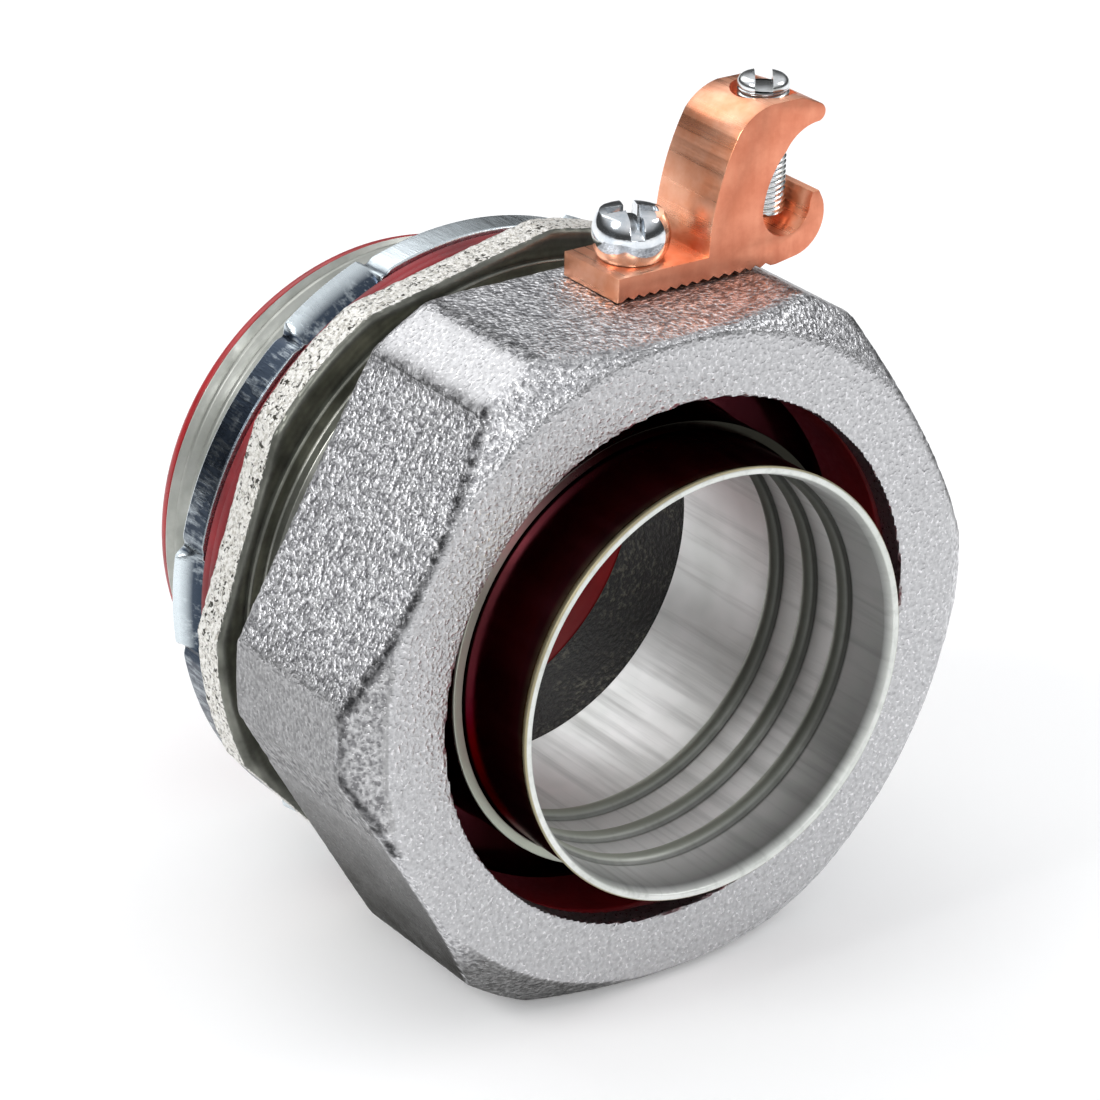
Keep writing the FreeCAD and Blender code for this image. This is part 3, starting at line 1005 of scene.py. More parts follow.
@dataclass
class FittingBody:
    """Cast body: hexagonal flange, gland spigot and box thread round the throat."""

    thread_r: float = 30.15
    thread_end: float = 20.75
    thread_pitch: float = 2.21
    thread_depth: float = 1.1
    thread_chamfer: float = 0.7
    thread_steps: int = 144
    thread_gap: float = 0.1
    gland_r: float = 34.0
    spigot_front: float = -19.0
    neck_front: float = -7.25
    boss_r: float = 35.6
    boss_front: float = -5.95
    flange_front: float = -5.25
    flange_r: float = 36.85
    flange_corner_r: float = 38.75
    flange_bore_r: float = 33.0
    flange_turn: float = 12.0
    flange_round: float = 0.9
    rim_front: float = -4.6
    rim_grain: float = 1.1
    rim_grain_depth: float = 0.34
    tube_seat_r: float = 24.5
    throat_front: float = -4.7
    throat_r: float = 23.8
    throat_back: float = 5.5
    liner_seat_r: float = 25.8
    voxel: float = 0.36
    role: tuple[str, str, str] = ("fitting", "body", "cast_zinc_plated")

    def build(self) -> None:
        """Makes and dresses the body's pieces."""
        self.make_spigot()
        self.make_threads()
        self.make_flange()

    def make_spigot(self) -> None:
        """Turns the core under the threads and the flange, with its boss and throat."""
        core = self.thread_r - self.thread_depth - self.thread_gap
        gland_core = self.gland_r - self.thread_depth - self.thread_gap
        end = self.thread_end - 0.3
        spigot = Workpiece.turn("body_spigot", [
            (self.tube_seat_r, self.spigot_front, 0.3),
            (gland_core, self.spigot_front, 0.3),
            (gland_core, self.neck_front - self.thread_depth),
            (self.gland_r, self.neck_front, 0.25),
            (self.gland_r, self.boss_front, 0.25),
            (self.boss_r, self.boss_front, 0.3),
            (self.boss_r, self.flange_front / 2),
            (core, self.flange_front / 2),
            (core, end, 0.2),
            (self.liner_seat_r, end, 0.2),
            (self.liner_seat_r, self.throat_back),
            (self.throat_r, self.throat_back, 0.3),
            (self.throat_r, self.throat_front, 0.3),
            (self.tube_seat_r, self.throat_front),
        ])
        neck = CutThread("neck_steel", (0.40, 0.405, 0.365), (0.20, 0.205, 0.18), 0.30).material()
        bore_r = (self.tube_seat_r + self.liner_seat_r) / 2
        boss_from = self.gland_r + 0.3
        spigot.paint(lambda face, radius: 1 if radius < bore_r else 2 if radius > boss_from else 0)
        spigot.finish(*self.role, neck, DarkBore().material(), TurnedFace().material())

    def wind(self, name: str, crest: float, span: tuple[float, float], core: float) -> Workpiece:
        """Winds one of the body's two threads."""
        return Workpiece.thread(name, crest, self.thread_depth, self.thread_pitch, span, core,
                                self.thread_steps, Axis.CONDUIT)

    def make_threads(self) -> None:
        """Winds the box thread, which ends in a chamfer, and the gland thread."""
        box = self.wind("box_thread", self.thread_r, (-1.0, self.thread_end),
                        self.liner_seat_r + 0.4)
        places = box.places()
        radius, _ = polar(places)
        chamfer = np.clip(places[:, 1] - (self.thread_end - self.thread_chamfer), 0.0, None)
        places[:, [0, 2]] *= np.minimum(1.0, (self.thread_r - chamfer) / radius)[:, None]
        box.put(places)
        steel = CutThread("box_thread_steel", (0.48, 0.49, 0.455), (0.35, 0.36, 0.33), 0.40)
        box.finish(*self.role, steel.material())
        gland = self.wind("gland_thread", self.gland_r, (self.spigot_front + 0.2, self.neck_front),
                          self.tube_seat_r + 2.0)
        steel = CutThread("gland_thread_steel", (0.58, 0.56, 0.46), (0.24, 0.235, 0.17))
        gland.finish(*self.role, steel.material())

    def make_flange(self) -> None:
        """Casts the hexagonal flange with its pitted rim and turned front."""
        turn = (math.pi / 2, HEX_TURN - math.radians(self.flange_turn), 0.0)
        flange = Workpiece.rod("body_flange", 6, self.flange_r / math.cos(HEX_TURN),
                               -self.flange_front, (0.0, self.flange_front / 2, 0.0), turn)
        blank = Workpiece.turn("flange_blank", [
            (self.flange_bore_r, self.flange_front - 1.0),
            (self.flange_corner_r, self.flange_front - 1.0),
            (self.flange_corner_r, 1.0),
            (self.flange_bore_r, 1.0),
        ], steps=128)
        flange.combine(blank, Cut.TO_SHAPE)
        flange.bevel(self.flange_round, segments=3)
        flange.remesh(self.voxel)
        places = flange.places()
        radius, _ = polar(places)
        on_rim = (radius > self.boss_r) & (places[:, 1] > self.rim_front)
        flange.roughen(self.rim_grain, self.rim_grain_depth, np.where(on_rim, 1.0, 0.1))
        flange.paint(lambda face, radius:
                     0 if face.center.y / MM > self.rim_front and radius > self.boss_r else 1)
        flange.finish(*self.role, PittedZinc().material(), TurnedFace().material())


@dataclass
class ThroatLiner:
    """Red insulating throat with its lip over the end of the box thread."""

    bore_r: float = 24.05
    wall_r: float = 25.75
    lip_r: float = 29.65
    start: float = 5.65
    seat: float = 20.8
    end: float = 22.5
    rounding: float = 0.6
    lip_rounding: float = 1.2

    def build(self) -> None:
        """Makes and dresses the liner."""
        liner = Workpiece.turn("throat_liner_moulding", [
            (self.bore_r, self.start, 0.3),
            (self.wall_r, self.start, 0.3),
            (self.wall_r, self.seat, 0.1),
            (self.lip_r, self.seat, 0.15),
            (self.lip_r, self.end, self.lip_rounding),
            (self.bore_r, self.end, self.rounding),
        ])
        liner.paint(lambda face, radius: 1 if radius < self.bore_r + 0.2 else 0)
        red = Moulding("red_plastic", (0.44, 0.014, 0.018), (0.30, 0.009, 0.013), 0.32)
        # A darker copy of the red plastic on the bore's faces, as painted shade inside the liner.
        worn = Moulding("red_plastic_bore_shaded", (0.27, 0.008, 0.010), (0.16, 0.005, 0.007), 0.5,
                        shine=0.15)
        liner.finish("fitting", "throat_liner", "red_liner", red.material(), worn.material())


@dataclass
class SealingGasket:
    """Red sealing washer on the flange."""

    bore_r: float = 30.3
    rim_r: float = 36.25
    thickness: float = 2.85
    rounding: float = 0.7
    groove: float = 0.12
    groove_half: float = 0.35

    def build(self) -> None:
        """Makes and dresses the gasket."""
        middle = self.thickness / 2
        gasket = Workpiece.turn("sealing_gasket_moulding", [
            (self.bore_r, 0.0, 0.2),
            (self.rim_r, 0.0, self.rounding),
            (self.rim_r, middle - self.groove_half),
            (self.rim_r - self.groove, middle),
            (self.rim_r, middle + self.groove_half),
            (self.rim_r, self.thickness, self.rounding),
            (self.bore_r, self.thickness, 0.2),
        ])
        rubber = Moulding("red_rubber_skin", (0.27, 0.011, 0.017), (0.14, 0.006, 0.010), 0.45)
        gasket.finish("fitting", "sealing_gasket", "red_rubber", rubber.material())


@dataclass
class SealingRing:
    """Dark red compression ring behind the gland nut's lip."""

    bore_r: float = 30.25
    rim_r: float = 33.0
    front: float = -32.6
    back: float = -22.45
    bevel: float = 0.8

    def build(self) -> None:
        """Makes and dresses the ring."""
        ring = Workpiece.turn("sealing_ring_moulding", [
            (self.bore_r + self.bevel, self.front, 0.3),
            (self.rim_r, self.front, 0.2),
            (self.rim_r, self.back, 0.2),
            (self.bore_r + self.bevel, self.back, 0.3),
            (self.bore_r, self.back - self.bevel, 0.3),
            (self.bore_r, self.front + self.bevel, 0.3),
        ])
        dark = Moulding("dark_red_plastic", (0.20, 0.007, 0.010), (0.12, 0.005, 0.007), 0.36)
        ring.finish("seal", "sealing_ring", "dark_red_ring", dark.material())


@dataclass
class Ferrule:
    """Pressed ferrule: ribbed grip tube, folded lip and seat flange."""

    tube_r: float = 24.35
    sheet: float = 0.9
    rim: float = -42.2
    flare: float = 0.45
    flare_len: float = 1.2
    flare_round: float = 0.6
    face: float = -19.95
    seat: float = -19.05
    seat_r: float = 33.0
    tube_end: float = -4.85
    edge_round: float = 0.28
    lip_r: float = 25.65
    lip_sheet: float = 1.1
    lip_edge: float = -30.5
    lip_round: float = 0.11
    lip_mark: float = 0.4
    fold: float = -24.45
    rib_first: float = 8.0
    rib_pitch: float = 6.05
    rib_width: float = 2.4
    rib_height: float = 0.75
    rib_count: int = 3
    rib_facets: int = 12
    rib_reach: float = 1.3
    # Turns of the sides where the ribs' painted shade is strongest, where the lip is lit, and where
    # the flare's end is shaded.
    rib_shade_turn: float = 10.0
    lip_lit_turn: float = 190.0
    shadow_turn: float = 300.0

    @property
    def bore_r(self) -> float:
        """Radius of the tube's inside."""
        return self.tube_r - self.sheet

    def rib_middles(self) -> list[float]:
        """Places of the ribs' middles, from the back to the front."""
        first = self.rim + self.rib_first
        return [first + i * self.rib_pitch for i in reversed(range(self.rib_count))]

    def ribs(self) -> list[Corner]:
        """Draws the rolled ribs along the bore.

        Returns:
            Their corners, from the back to the front.
        """
        half = self.rib_width / 2
        corners = []
        for middle in self.rib_middles():
            corners.append((self.bore_r, middle + self.rib_reach * half))
            for k in range(self.rib_facets + 1):
                share = 1 - 2 * k / self.rib_facets
                height = self.rib_height * (1 - share ** 2) ** 0.8
                corners.append((self.bore_r - height, middle + share * half))
            corners.append((self.bore_r, middle - self.rib_reach * half))
        return corners

    def build(self) -> None:
        """Makes and dresses the ferrule."""
        flare_end = self.rim + self.flare_len
        lip_inside = self.lip_r - self.lip_sheet
        ferrule = Workpiece.turn("ferrule_pressing", [
            (self.bore_r + self.flare, self.rim, self.edge_round),
            (self.tube_r + self.flare, self.rim, self.edge_round),
            (self.tube_r, flare_end, self.flare_round),
            (self.tube_r, flare_end + 1.0),
            (self.tube_r, self.fold),
            (lip_inside, self.fold),
            (lip_inside, self.lip_edge + self.lip_mark),
            (lip_inside, self.lip_edge, self.lip_round),
            (self.lip_r, self.lip_edge, self.lip_round),
            (self.lip_r, self.lip_edge + self.lip_mark),
            (self.lip_r, self.face, 0.4),
            (self.seat_r, self.face, self.edge_round),
            (self.seat_r, self.seat, self.edge_round),
            (self.tube_r, self.seat, 0.3),
            (self.tube_r, self.tube_end, self.edge_round),
            (self.bore_r, self.tube_end, self.edge_round),
            *self.ribs(),
            (self.bore_r, flare_end, self.flare_round),
        ], steps=240)
        self.mark(ferrule)
        ferrule.finish("fitting", "ferrule", "plated_steel", DrawnSteel().material())

    def mark(self, ferrule: Workpiece) -> None:
        """Marks the ribs, the painted shade on their fronts and on the lip, the painted red
        reflection on the glossy outside, the flare's painted sheen and the pale rolled edges.

        Args:
            ferrule: the turned piece.
        """
        places = ferrule.places()
        radius, angle = polar(places)
        along = places[:, 1]
        flare_end = self.rim + self.flare_len
        # The areas of the pressing.
        inside = radius < self.bore_r + 0.05
        off_ends = (along > self.rim + 0.5) & (along < self.tube_end - 0.5)
        outside = (radius > self.tube_r - 0.3) & off_ends
        at_lip = (along < self.lip_edge + 0.3) & (along > flare_end + 1.0)
        lip = (radius > self.tube_r + 0.15) & at_lip
        flared = outside | ((radius > self.tube_r + self.flare - 0.25) & (along < self.rim + 0.6))
        # The way from the nearest rib's middle, in half widths, and its side.
        off = np.stack([along - middle for middle in self.rib_middles()]) / (self.rib_width / 2)
        near = np.abs(off).min(axis=0)
        lean = off[np.abs(off).argmin(axis=0), np.arange(len(along))]
        # The sides where the ribs' painted shade is strongest (worn), where the lip is lit and
        # pale, and where the flare's end is shaded (low).
        worn = facing(angle, self.rib_shade_turn)
        lip_lit = np.clip(1.6 * np.cos(np.radians(angle - self.lip_lit_turn)) - 0.1, 0.0, 1.0)
        low = facing(angle, self.shadow_turn)
        # Painted shade: the dark front of each rib, its foot, and the line round the flare's end.
        shade = np.clip(1.5 * (0.7 - lean), 0.0, 0.86) * np.clip(0.05 + 1.1 * worn, 0.0, 1.0)
        shade = np.where(lean < -0.7, np.maximum(shade, 0.6 + 0.4 * worn), shade)
        foot = (lean < -1.05) & (near < self.rib_reach + 0.05)
        foot_and_flare_shade = np.where(np.abs(along - flare_end) < 0.5, 0.75 * low, np.where(foot, 0.5 * worn, 0.0))
        painted_shade = inside * np.where(near < 1.05, shade, foot_and_flare_shade)
        # The lip keeps its pale edge on its lit side; elsewhere it takes painted shade and the
        # painted red reflection.
        ferrule.mark("rib", inside * np.clip(self.rib_reach - near, 0.0, 1.0))
        ferrule.mark("painted_shade", np.where(lip, 1.0 - lip_lit, painted_shade))
        ferrule.mark("gloss_and_reflection", np.where(lip, 1.0 - lip_lit, outside))
        ferrule.mark("flare", flared * ramp(along, flare_end + 0.4, flare_end))
        ferrule.mark("edge", np.where(lip, lip_lit, 0.25 * (along < self.rim + 0.2) * ~flared))


@dataclass
class Locknut:
    """Stamped locknut with six ears round its rim."""

    bore_r: float = 30.4
    rim_r: float = 36.5
    front: float = 3.0
    back: float = 8.35
    bevel: float = 1.5
    ear_count: int = 6
    ear_rows: int = 4
    ear_reach: float = 0.8
    ear_arc: float = 19.0
    ear_end: float = 1.6
    ear_turn: float = 59.5
    ear_start: float = 0.6
    ear_sink: float = 1.2
    ear_slope: float = 3.6
    ear_tuck: float = 0.5
    notch_arc: float = 0.8
    notch: float = 0.35
    # The rim's painted shade rises from its least to full over this arc.
    dark_from: float = 112.0
    dark_to: float = 128.0
    dark_least: float = 0.15
    steps: int = 720

    def outline(self) -> list[Corner]:
        """Draws the section of the turned ring.

        Returns:
            Its corners, with rows across the rim for the ears to rise from.
        """
        rim_end = self.back - self.bevel
        start = self.front + self.ear_start
        width = rim_end - start
        return [
            (self.bore_r, self.front, 0.15),
            (self.rim_r, self.front, 0.25),
            (self.rim_r, self.front + self.ear_start / 2),
            *((self.rim_r, start + width * k / self.ear_rows) for k in range(self.ear_rows)),
            (self.rim_r, rim_end, 0.3),
            (self.rim_r - self.bevel, self.back, 0.3),
            (self.bore_r, self.back, 0.15),
        ]

    def press_ears(self, nut: Workpiece) -> None:
        """Leans the ears out of the rim, with a notch at each end, and marks where shade is painted
        on the rim, the ears' fronts and the notches.

        Args:
            nut: the turned ring.
        """
        places = nut.places()
        radius, angle = polar(places)
        along = places[:, 1] - self.front
        thickness = self.back - self.front
        # The ears and notches round the rim, and how far out and back each place lies.
        pitch = 360 / self.ear_count
        off = np.abs((angle - self.ear_turn + pitch / 2) % pitch - pitch / 2) - self.ear_arc / 2
        ear = ramp(off, 0.0, -self.ear_end)
        ear = ear * ear * (3 - 2 * ear)
        notch = bell((off - self.notch_arc / 2) / self.notch_arc)
        behind = ramp(along, 0.0, self.ear_slope)
        outer = np.clip(radius - self.rim_r + self.bevel + 1.0, 0.0, 1.0)
        # The ears rise towards the back, sink at the front and are tucked in behind.
        rise = self.ear_reach * behind - self.ear_sink * (1 - behind)
        lift = outer * (ear * rise - self.notch * notch)
        places[:, [0, 2]] *= (1 + lift / radius)[:, None]
        places[:, 1] -= self.ear_tuck * ear * outer * ramp(along, thickness / 2, thickness)
        nut.put(places)
        # Shade is painted on the rim, most on one side, on each ear at its front, and in the
        # notches.
        on_rim = ramp(radius, self.rim_r - 0.3, self.rim_r) * (along < thickness - self.bevel - 0.1)
        dark = self.dark_least + (1 - self.dark_least) * ramp(angle, self.dark_from, self.dark_to)
        dark = np.where(ear > 0.5, np.clip(2.4 * (0.8 - behind), 0.05, 1.0), dark)
        nut.mark("shade_and_shear", np.clip(np.maximum(on_rim * dark, outer * notch * 0.9), 0.0, 1.0))

    def build(self) -> None:
        """Makes and dresses the locknut."""
        nut = Workpiece.turn("locknut_stamping", self.outline(), steps=self.steps)
        self.press_ears(nut)
        nut.finish("locknut", "locknut", "locknut_steel", StampedZinc().material())


@dataclass
class GlandNut:
    """Cast hexagonal gland nut with cut corners and a crowned front."""

    flat_r: float = 37.8
    corner_r: float = 41.25
    front: float = -35.75
    back: float = -11.95
    face_r: float = 37.3
    face_round: float = 1.5
    crown: float = 3.1
    edge_round: float = 1.2
    back_bevel: float = 0.8
    mouth_r: float = 30.15
    bore_r: float = 30.05
    lip_back: float = -32.65
    pocket_r: float = 33.2
    pocket_back: float = -22.3
    thread_r: float = 34.25
    screw_r: float = 2.45
    screw_len: float = 12.0
    voxel: float = 0.435
    grain: float = 0.85
    grain_depth: float = 0.27
    wear_passes: int = 16

    def blank(self) -> Workpiece:
        """Turns the ring that trims the bar.

        Returns:
            A ring with the nut's passage, flat face and crown.
        """
        rim_r = self.face_r + 2 * (self.corner_r - self.face_r)
        return Workpiece.turn("nut_blank", [
            (self.mouth_r, self.front),
            (self.face_r, self.front, self.face_round),
            (rim_r, self.front + 2 * self.crown),
            (rim_r, self.back),
            (self.thread_r + self.back_bevel, self.back),
            (self.thread_r, self.back - self.back_bevel),
            (self.thread_r, self.pocket_back + self.thread_r - self.pocket_r),
            (self.pocket_r, self.pocket_back),
            (self.pocket_r, self.lip_back),
            (self.bore_r, self.lip_back, 0.2),
            (self.bore_r, self.front + self.mouth_r - self.bore_r),
        ], steps=192)

    def bar(self) -> Workpiece:
        """Makes the bar that the nut is trimmed from.

        Returns:
            A hexagon bar with its corners cut off and rounded.
        """
        corner = self.flat_r / math.cos(HEX_TURN)
        margin = 2.0
        middle = (0.0, (self.front + self.back - margin) / 2, 0.0)
        bar = Workpiece.rod("gland_nut_casting", 6, corner, self.back - self.front + margin, middle,
                            (math.pi / 2, HEX_TURN, 0.0))
        bar.chamfer(2 * (corner - self.corner_r), 1, lambda a, b: abs(a.y - b.y) > MM)
        edge = self.edge_round * math.tan(HEX_TURN / 2)
        bar.chamfer(edge, 3, lambda a, b: abs(a.y - b.y) > MM)
        bar.chamfer(self.back_bevel, 2, lambda a, b: min(a.y, b.y) > (self.back - 1) * MM)
        return bar

    def build(self) -> None:
        """Makes and dresses the nut."""
        nut = self.bar()
        nut.combine(self.blank(), Cut.TO_SHAPE)
        middle = (PAD_SCREW_X, SCREWS_Y, self.flat_r)
        nut.combine(Workpiece.rod("screw_hole", 48, self.screw_r, self.screw_len, middle), Cut.OUT)
        nut.remesh(self.voxel)
        self.wear_and_shade(nut)
        nut.finish("nut", "gland_nut", "cast_zinc_plated", CastZinc().material())

    def depths(self, places: np.ndarray) -> list[np.ndarray]:
        """Works out how deep each place lies under the outside.

        Args:
            places: the vertices' places.

        Returns:
            Its depth under the flats, the cut corners and the crown.
        """
        depths = []
        for distance, first in ((self.flat_r, 90), (self.corner_r, 120)):
            turn = np.radians(np.arange(6) * 60 + first)
            across = places[:, [0]] * np.cos(turn) + places[:, [2]] * np.sin(turn)
            depths.append(distance - across.max(axis=1))
        rise = self.corner_r - self.face_r
        radius, _ = polar(places)
        crown = (places[:, 1] - self.front) * rise - (radius - self.face_r) * self.crown
        return [*depths, crown / math.hypot(rise, self.crown)]

    def wear_and_shade(self, nut: Workpiece) -> None:
        """Gives each side of the casting its own grain, painted shade and dark edge lines, and
        sinks the skin into it.

        Args:
            nut: the dense casting.
        """
        places = nut.places()
        flats, cuts, crown = self.depths(places)
        radius, angle = polar(places)
        # The areas of the casting.
        on_flat, on_cut = flats < 0.5, cuts < 0.4
        on_face = (places[:, 1] < self.front + 0.4) & (radius > self.mouth_r)
        on_crown = (crown < 0.5) & (radius > self.face_r)
        on_top = (places[:, 2] > self.flat_r - 0.5) & (crown > 1.0)
        on_left = (angle > 165) & (angle < 195)
        behind = (on_flat | on_cut) * (crown > 0.7)
        # Painted shade on the dull sides: the lower left one most, then those round it, and the
        # crown under them and on its left.
        lower_left_shade = ramp(angle, 192, 200) * ramp(angle, 304, 296) * behind
        lower_left_shade *= 0.55 + 0.35 * ramp(angle, 200, 230) - 0.55 * ramp(angle, 236, 244)
        shaded = 0.45 * ramp(angle, 168, 176) * ramp(angle, 300, 292) * behind
        under = 0.75 * ramp(angle, 222, 230) * ramp(angle, 275, 255) * on_crown
        nut.mark("side_shade", np.max([lower_left_shade, under, shaded, 0.42 * (on_crown & on_left)], axis=0))
        # The share of the grain on each area, where a later one goes over an earlier one.
        coarse = np.full(len(places), 0.2)
        for area, share in ((on_flat, 1.0), (on_cut, 0.22), (on_cut & on_left, 0.55),
                            (on_crown, 0.8), (on_crown & on_left, 1.0), (on_face, 0.35),
                            (on_top, 1.0), (lower_left_shade > 0.3, 0.4)):
            coarse[area] = share
        nut.mark("coarse", coarse)
        # Dark lines painted along the edges, and the edges that are worn round.
        front_edge = 1.3 * bell((flats - 0.3) / 0.5, crown / 0.5) * (angle < 200)
        front_edge *= np.where((angle > 60) & (angle < 118), 0.3, 1.0)
        corner_edge = 0.7 * bell(cuts / 0.6, crown / 0.6) * on_left
        side_edge = 0.85 * bell(flats / 0.55, cuts / 0.55) * (crown > 0.5) * (angle < 138)
        nut.mark("dark_edge", np.clip(np.max([front_edge, corner_edge, side_edge], axis=0), 0.0, 1.0))
        worn = bell(flats / 1.8, cuts / 1.8) + 0.6 * bell(flats / 0.9, crown / 0.9)
        nut.soften(np.clip(worn, 0.0, 1.0) * (radius > self.mouth_r + 1.0), self.wear_passes)
        nut.roughen(self.grain, self.grain_depth, coarse)


@dataclass
class GroundLug:
    """Copper lay-in lug: pad, arm over the wire slot, jaw and a toothed underside."""

    base: float = 37.8
    offset: float = -1.5
    front: float = -24.75
    width: float = 9.8
    length: float = 27.0
    height: float = 18.3
    pad_t: float = 2.7
    pad_len: float = 11.8
    arm_lean: float = 3.6
    arm_bow: float = 0.85
    shoulder_len: float = 4.2
    shoulder_drop: float = 2.4
    shoulder_bow: float = 0.45
    tip_slope_len: float = 2.5
    tip_drop: float = 1.05
    tip_inset: float = 1.0
    tip_t: float = 2.05
    tip_bow: float = 0.8
    mouth_len: float = 2.8
    mouth_drop: float = 2.6
    mouth_bow: float = 0.65
    web_bow: float = 0.6
    slot_floor: float = 3.1
    slot_r: float = 3.15
    jaw_wall: float = 1.8
    jaw_height: float = 7.3
    jaw_lead: float = 0.3
    jaw_corner: float = 1.1
    jaw_bow: float = 1.5
    heel_len: float = 3.4
    heel_rise: float = 0.45
    toe_len: float = 6.1
    tooth_count: int = 14
    tooth_pitch: float = 1.4
    tooth_depth: float = 0.4
    pad_hole_r: float = 2.55
    clamp_hole_r: float = 2.95
    recess_r: float = 3.6
    recess_depth: float = 1.4
    edge: float = 0.14

    def outline(self) -> list[Vector]:
        """Draws the lug's side view.

        Returns:
            Its points from the free end, over the arm, round the slot and back along the teeth.
        """
        slot_right = self.length - self.jaw_wall
        slot_left, slot_top = slot_right - 2 * self.slot_r, self.slot_floor + self.slot_r
        shoulder = self.pad_len + self.arm_lean
        tip, tip_top = self.length - self.tip_inset, self.height - self.tip_drop
        tip_under = tip_top - self.tip_t
        toe = self.length - self.toe_len
        # Each corner, with the bow and the facets of a bowed run that leads to it.
        runs = [
            (0.0, 0.0), (0.0, self.pad_t), (self.pad_len, self.pad_t),
            (shoulder, self.height - self.shoulder_drop, self.arm_bow, 16),
            (shoulder + self.shoulder_len, self.height, self.shoulder_bow, 8),
            (tip - self.tip_slope_len, self.height), (tip, tip_top),
            (tip, tip_under, self.tip_bow, 10),
            (slot_left + self.mouth_len, tip_under - self.mouth_drop, -self.mouth_bow, 10),
            (slot_left, slot_top, -self.web_bow, 10),
            (slot_right, slot_top, -self.slot_r, 24),
            (slot_right + self.jaw_lead, self.jaw_height),
            (self.length - self.jaw_corner / 2, self.jaw_height),
            (self.length, self.jaw_height - self.jaw_corner),
            (self.length - self.heel_len, self.heel_rise, self.jaw_bow, 12),
            (toe, 0.0),
        ]
        line, here = [], None
        for x, z, *bow in runs:
            there = Vector((x, z))
            line += bowed(here, there, *bow) if bow else [there]
            here = there
        first = (toe - self.tooth_count * self.tooth_pitch) / 2
        for i in reversed(range(self.tooth_count)):
            start = first + i * self.tooth_pitch
            line.append(Vector((start + self.tooth_pitch, 0.0)))
            line.append(Vector((start + self.tooth_pitch / 2, self.tooth_depth)))
        line.append(Vector((first, 0.0)))
        return line

    def drill(self, lug: Workpiece, x: float, radius: float, low: float, high: float) -> None:
        """Drills an upright hole on the lug's centre line."""
        middle = (x, self.front + self.width / 2, (low + high) / 2)
        lug.combine(Workpiece.rod("drill", 64, radius, high - low, middle), Cut.OUT)

    def build(self) -> None:
        """Makes and dresses the lug."""
        points = [((p.x + self.offset) * MM, self.front * MM, (p.y + self.base) * MM)
                  for p in self.outline()]
        lug = Workpiece.draw("ground_lug_bar", points, closed=True)
        lug.edit()
        bpy.ops.mesh.edge_face_add()
        across = (0.0, self.width * MM, 0.0)
        bpy.ops.mesh.extrude_region_move(TRANSFORM_OT_translate={"value": across})
        lug.close_up()
        lug.chamfer(self.edge, 2, lambda a, b: abs(a.y - b.y) < 0.1 * MM)
        lug.close_up()
        pad, top = self.base + self.pad_t, self.base + self.height
        for x, radius, low, high in (
            (PAD_SCREW_X, self.pad_hole_r, self.base - 1, pad + 1),
            (CLAMP_SCREW_X, self.clamp_hole_r, self.base + self.jaw_height, top + 1),
            (CLAMP_SCREW_X, self.recess_r, top - self.recess_depth, top + 1),
        ):
            self.drill(lug, x, radius, low, high)
        lug.paint(lambda face, radius: 1 if abs(face.normal.y) > 0.9 else 0)
        drawn = Copper("copper_drawn", (1.0, 0.50, 0.32), (0.88, 0.34, 0.18), 0.30, sawn=False)
        sawn = Copper("copper_sawn", (0.90, 0.36, 0.22), (0.78, 0.27, 0.155), 0.46, sawn=True)
        lug.finish("nut", "ground_lug", "copper", drawn.material(), sawn.material())


@dataclass
class PadScrew:
    """Round-headed screw that holds the lug on the nut, with a combination drive."""

    shank_r: float = 2.4
    tip: float = 34.6
    tip_bevel: float = 0.6
    under: float = 40.55
    rim: float = 45.55
    head_r: float = 4.25
    head_rows: int = 8
    seat_r: float = 3.44
    dome: float = 0.4
    slot: float = 1.5
    slot_depth: float = 2.2
    cross: float = 5.4
    turn: float = 64.0
    edge: float = 0.09

    def head(self) -> list[Corner]:
        """Draws the section of the head.

        Returns:
            Its corners from the seat, round the side and over the dome.
        """
        half = (self.rim - self.under) / 2
        corners = []
        for k in range(1, 2 * self.head_rows):
            rise = half * (k / self.head_rows - 1)
            corners.append((math.sqrt(self.head_r ** 2 - rise ** 2), self.under + half + rise))
        top_r = math.sqrt(self.head_r ** 2 - half ** 2)
        for k in range(self.head_rows + 1):
            share = 1 - k / self.head_rows
            corners.append((top_r * share, self.rim + self.dome * (1 - share ** 2)))
        return corners

    def build(self) -> None:
        """Makes and dresses the screw."""
        screw = Workpiece.turn("lug_screw_turned", [
            (0.0, self.tip),
            (self.shank_r - self.tip_bevel, self.tip),
            (self.shank_r, self.tip + self.tip_bevel),
            (self.shank_r, self.under),
            (self.seat_r, self.under, 0.1),
            *self.head(),
        ], steps=96, axis=Axis.SCREW, place=(PAD_SCREW_X * MM, SCREWS_Y * MM, 0.0))
        top = (PAD_SCREW_X, SCREWS_Y, self.rim + self.dome)
        for length, turn in ((2.2 * self.head_r, self.turn), (self.cross, self.turn + 90)):
            screw.cut_slot(top, length, self.slot, self.slot_depth, turn)
        screw.bevel(self.edge)
        screw.finish("nut", "lug_screw", "screw_steel", BrightZinc().material())


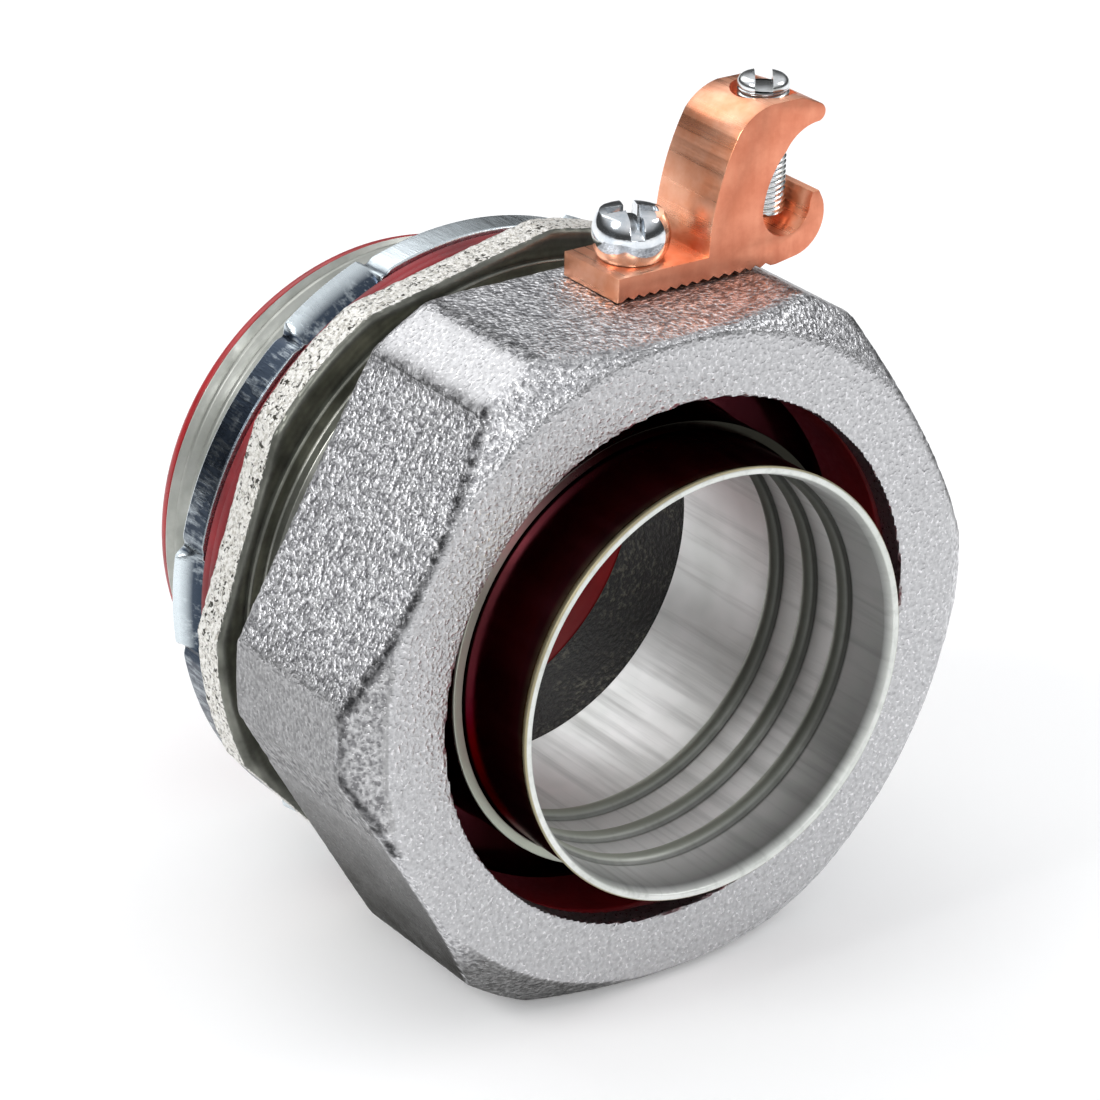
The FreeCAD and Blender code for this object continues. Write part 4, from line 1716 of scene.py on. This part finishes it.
@dataclass
class ClampScrew:
    """Slotted set screw that clamps the ground wire."""

    radius: float = 2.8
    tip: float = 42.1
    tip_bevel: float = 0.5
    top: float = 57.65
    bevel: float = 0.9
    head_height: float = 1.3
    pitch: float = 0.6
    thread_depth: float = 0.32
    thread_gap: float = 0.05
    thread_wall: float = 0.6
    slot: float = 1.9
    slot_depth: float = 1.45
    turn: float = 54.0
    edge: float = 0.07

    def cut_slot(self, piece: Workpiece) -> None:
        """Cuts the driver slot across the screw's top."""
        top = (CLAMP_SCREW_X, SCREWS_Y, self.top)
        piece.cut_slot(top, 3 * self.radius, self.slot, self.slot_depth, self.turn)

    def build(self) -> None:
        """Makes and dresses the screw and its thread."""
        place = (CLAMP_SCREW_X * MM, SCREWS_Y * MM, 0.0)
        root = self.radius - self.thread_depth - self.thread_gap
        head = self.top - self.head_height
        screw = Workpiece.turn("clamp_screw_turned", [
            (0.0, self.tip),
            (root - self.tip_bevel, self.tip, 0.1),
            (root, self.tip + self.tip_bevel, 0.1),
            (root, head),
            (self.radius, head, 0.1),
            (self.radius, self.top - 0.25, self.bevel),
            (self.radius * 0.45, self.top, 0.6),
            (0.0, self.top),
        ], steps=72, axis=Axis.SCREW, place=place)
        self.cut_slot(screw)
        screw.bevel(self.edge)
        zinc = BrightZinc(tint=(0.62, 0.64, 0.62), roughness=0.16).material()
        screw.finish("clamp", "clamp_screw", "screw_steel", zinc)
        span = (self.tip + self.tip_bevel, head + self.thread_gap)
        thread = Workpiece.thread("clamp_screw_thread", self.radius, self.thread_depth, self.pitch,
                                  span, root - self.thread_wall, 48, Axis.SCREW)
        thread.edit()
        bpy.ops.transform.translate(value=place)
        self.cut_slot(thread)
        thread.finish("clamp", "clamp_screw", "screw_steel", zinc)


@dataclass(frozen=True)
class Lamp:
    """Softbox that faces the object, with its place and size in metres."""

    name: str
    place: Point
    size: float
    watts: float

    def hang(self) -> None:
        """Adds the lamp and points it at the object."""
        clear_bench()
        bpy.ops.object.light_add(type="AREA", location=self.place)
        lamp = bpy.context.object
        lamp.name = lamp.data.name = self.name
        lamp.data.shape = "DISK"
        lamp.data.size = self.size
        lamp.data.energy = self.watts
        lamp.rotation_euler = Vector(self.place).to_track_quat("Z", "Y").to_euler()


@dataclass
class Studio:
    """Pale floor, soft lamps and the camera at the photograph's angle, in metres and pixels."""

    azimuth: float = -35.923
    elevation: float = 25.018
    roll: float = 1.282
    focal: float = 4594.663
    image: float = 1100.0
    distance: float = 0.488
    shift_right: float = 0.01391
    shift_up: float = -0.01214
    target_y: float = -0.03575
    nearest: float = 0.01
    floor_size: float = 6.0
    air: Colour = (0.97, 0.98, 1.0)
    walls: float = 0.06
    walls_end: float = 0.18
    ceiling: float = 0.80
    ceiling_start: float = 0.62
    lamps: tuple[Lamp, ...] = (
        Lamp("softbox_back", (-0.14, 1.03, 0.94), 1.2, 4.3),
        Lamp("softbox_left", (-0.88, 0.05, 0.70), 0.45, 4.0),
        Lamp("softbox_front", (-0.45, -0.95, 0.52), 0.50, 3.0),
        Lamp("softbox_right", (0.75, -0.35, 0.60), 0.40, 1.5),
    )

    def build(self) -> None:
        """Sets the stage."""
        bpy.context.scene.view_settings.view_transform = "Standard"
        self.lay_floor()
        self.light()
        self.place_camera()

    def lay_floor(self) -> None:
        """Lays the floor under the object's lowest point."""
        clear_bench()
        bpy.ops.mesh.primitive_plane_add(size=self.floor_size, location=(0.0, 0.0, CAD_BOX[0].z))
        floor = Workpiece("floor").thing
        floor.data.materials.append(PaleFloor().material())

    def light(self) -> None:
        """Hangs the softboxes and sets the room: dark walls under a pale ceiling."""
        g = Graph(bpy.data.worlds.new("room"), "Background")
        height = g.add("SeparateXYZ", "Z", {"Vector": g.space["Generated"]})
        g.set(Color=self.air, Strength=g.remap(height, self.walls_end, self.ceiling_start,
                                               self.walls, self.ceiling, Slope.EASED))
        bpy.context.scene.world = g.owner
        for lamp in self.lamps:
            lamp.hang()

    def place_camera(self) -> None:
        """Places the camera where the photograph was taken from."""
        a, e, r = (math.radians(v) for v in (self.azimuth, self.elevation, self.roll))
        back = Vector((math.sin(a) * math.cos(e), -math.cos(a) * math.cos(e), math.sin(e)))
        right = Vector((math.cos(a), math.sin(a), 0.0))
        up = back.cross(right)
        across = right * math.cos(r) + up * math.sin(r)
        upward = up * math.cos(r) - right * math.sin(r)
        place = back * self.distance - across * self.shift_right - upward * self.shift_up
        place.y += self.target_y
        turn = Matrix((across, upward, back)).transposed().to_4x4()
        clear_bench()
        bpy.ops.object.camera_add()
        camera = bpy.context.object
        camera.name = camera.data.name = "camera"
        camera.matrix_world = Matrix.Translation(place) @ turn
        camera.data.sensor_fit = "HORIZONTAL"
        camera.data.lens = self.focal * camera.data.sensor_width / self.image
        camera.data.clip_start = self.nearest
        bpy.context.scene.camera = camera


def main() -> None:
    """Builds the connector's pieces in order, then the studio."""
    logging.basicConfig(level=logging.INFO, format="%(name)s: %(message)s")
    for kind in (FittingBody, ThroatLiner, SealingGasket, SealingRing, Ferrule, Locknut, GlandNut,
                 GroundLug, PadScrew, ClampScrew, Studio):
        kind().build()
        LOG.info("%s is done", kind.__name__)


if __name__ == "__main__":
    main()
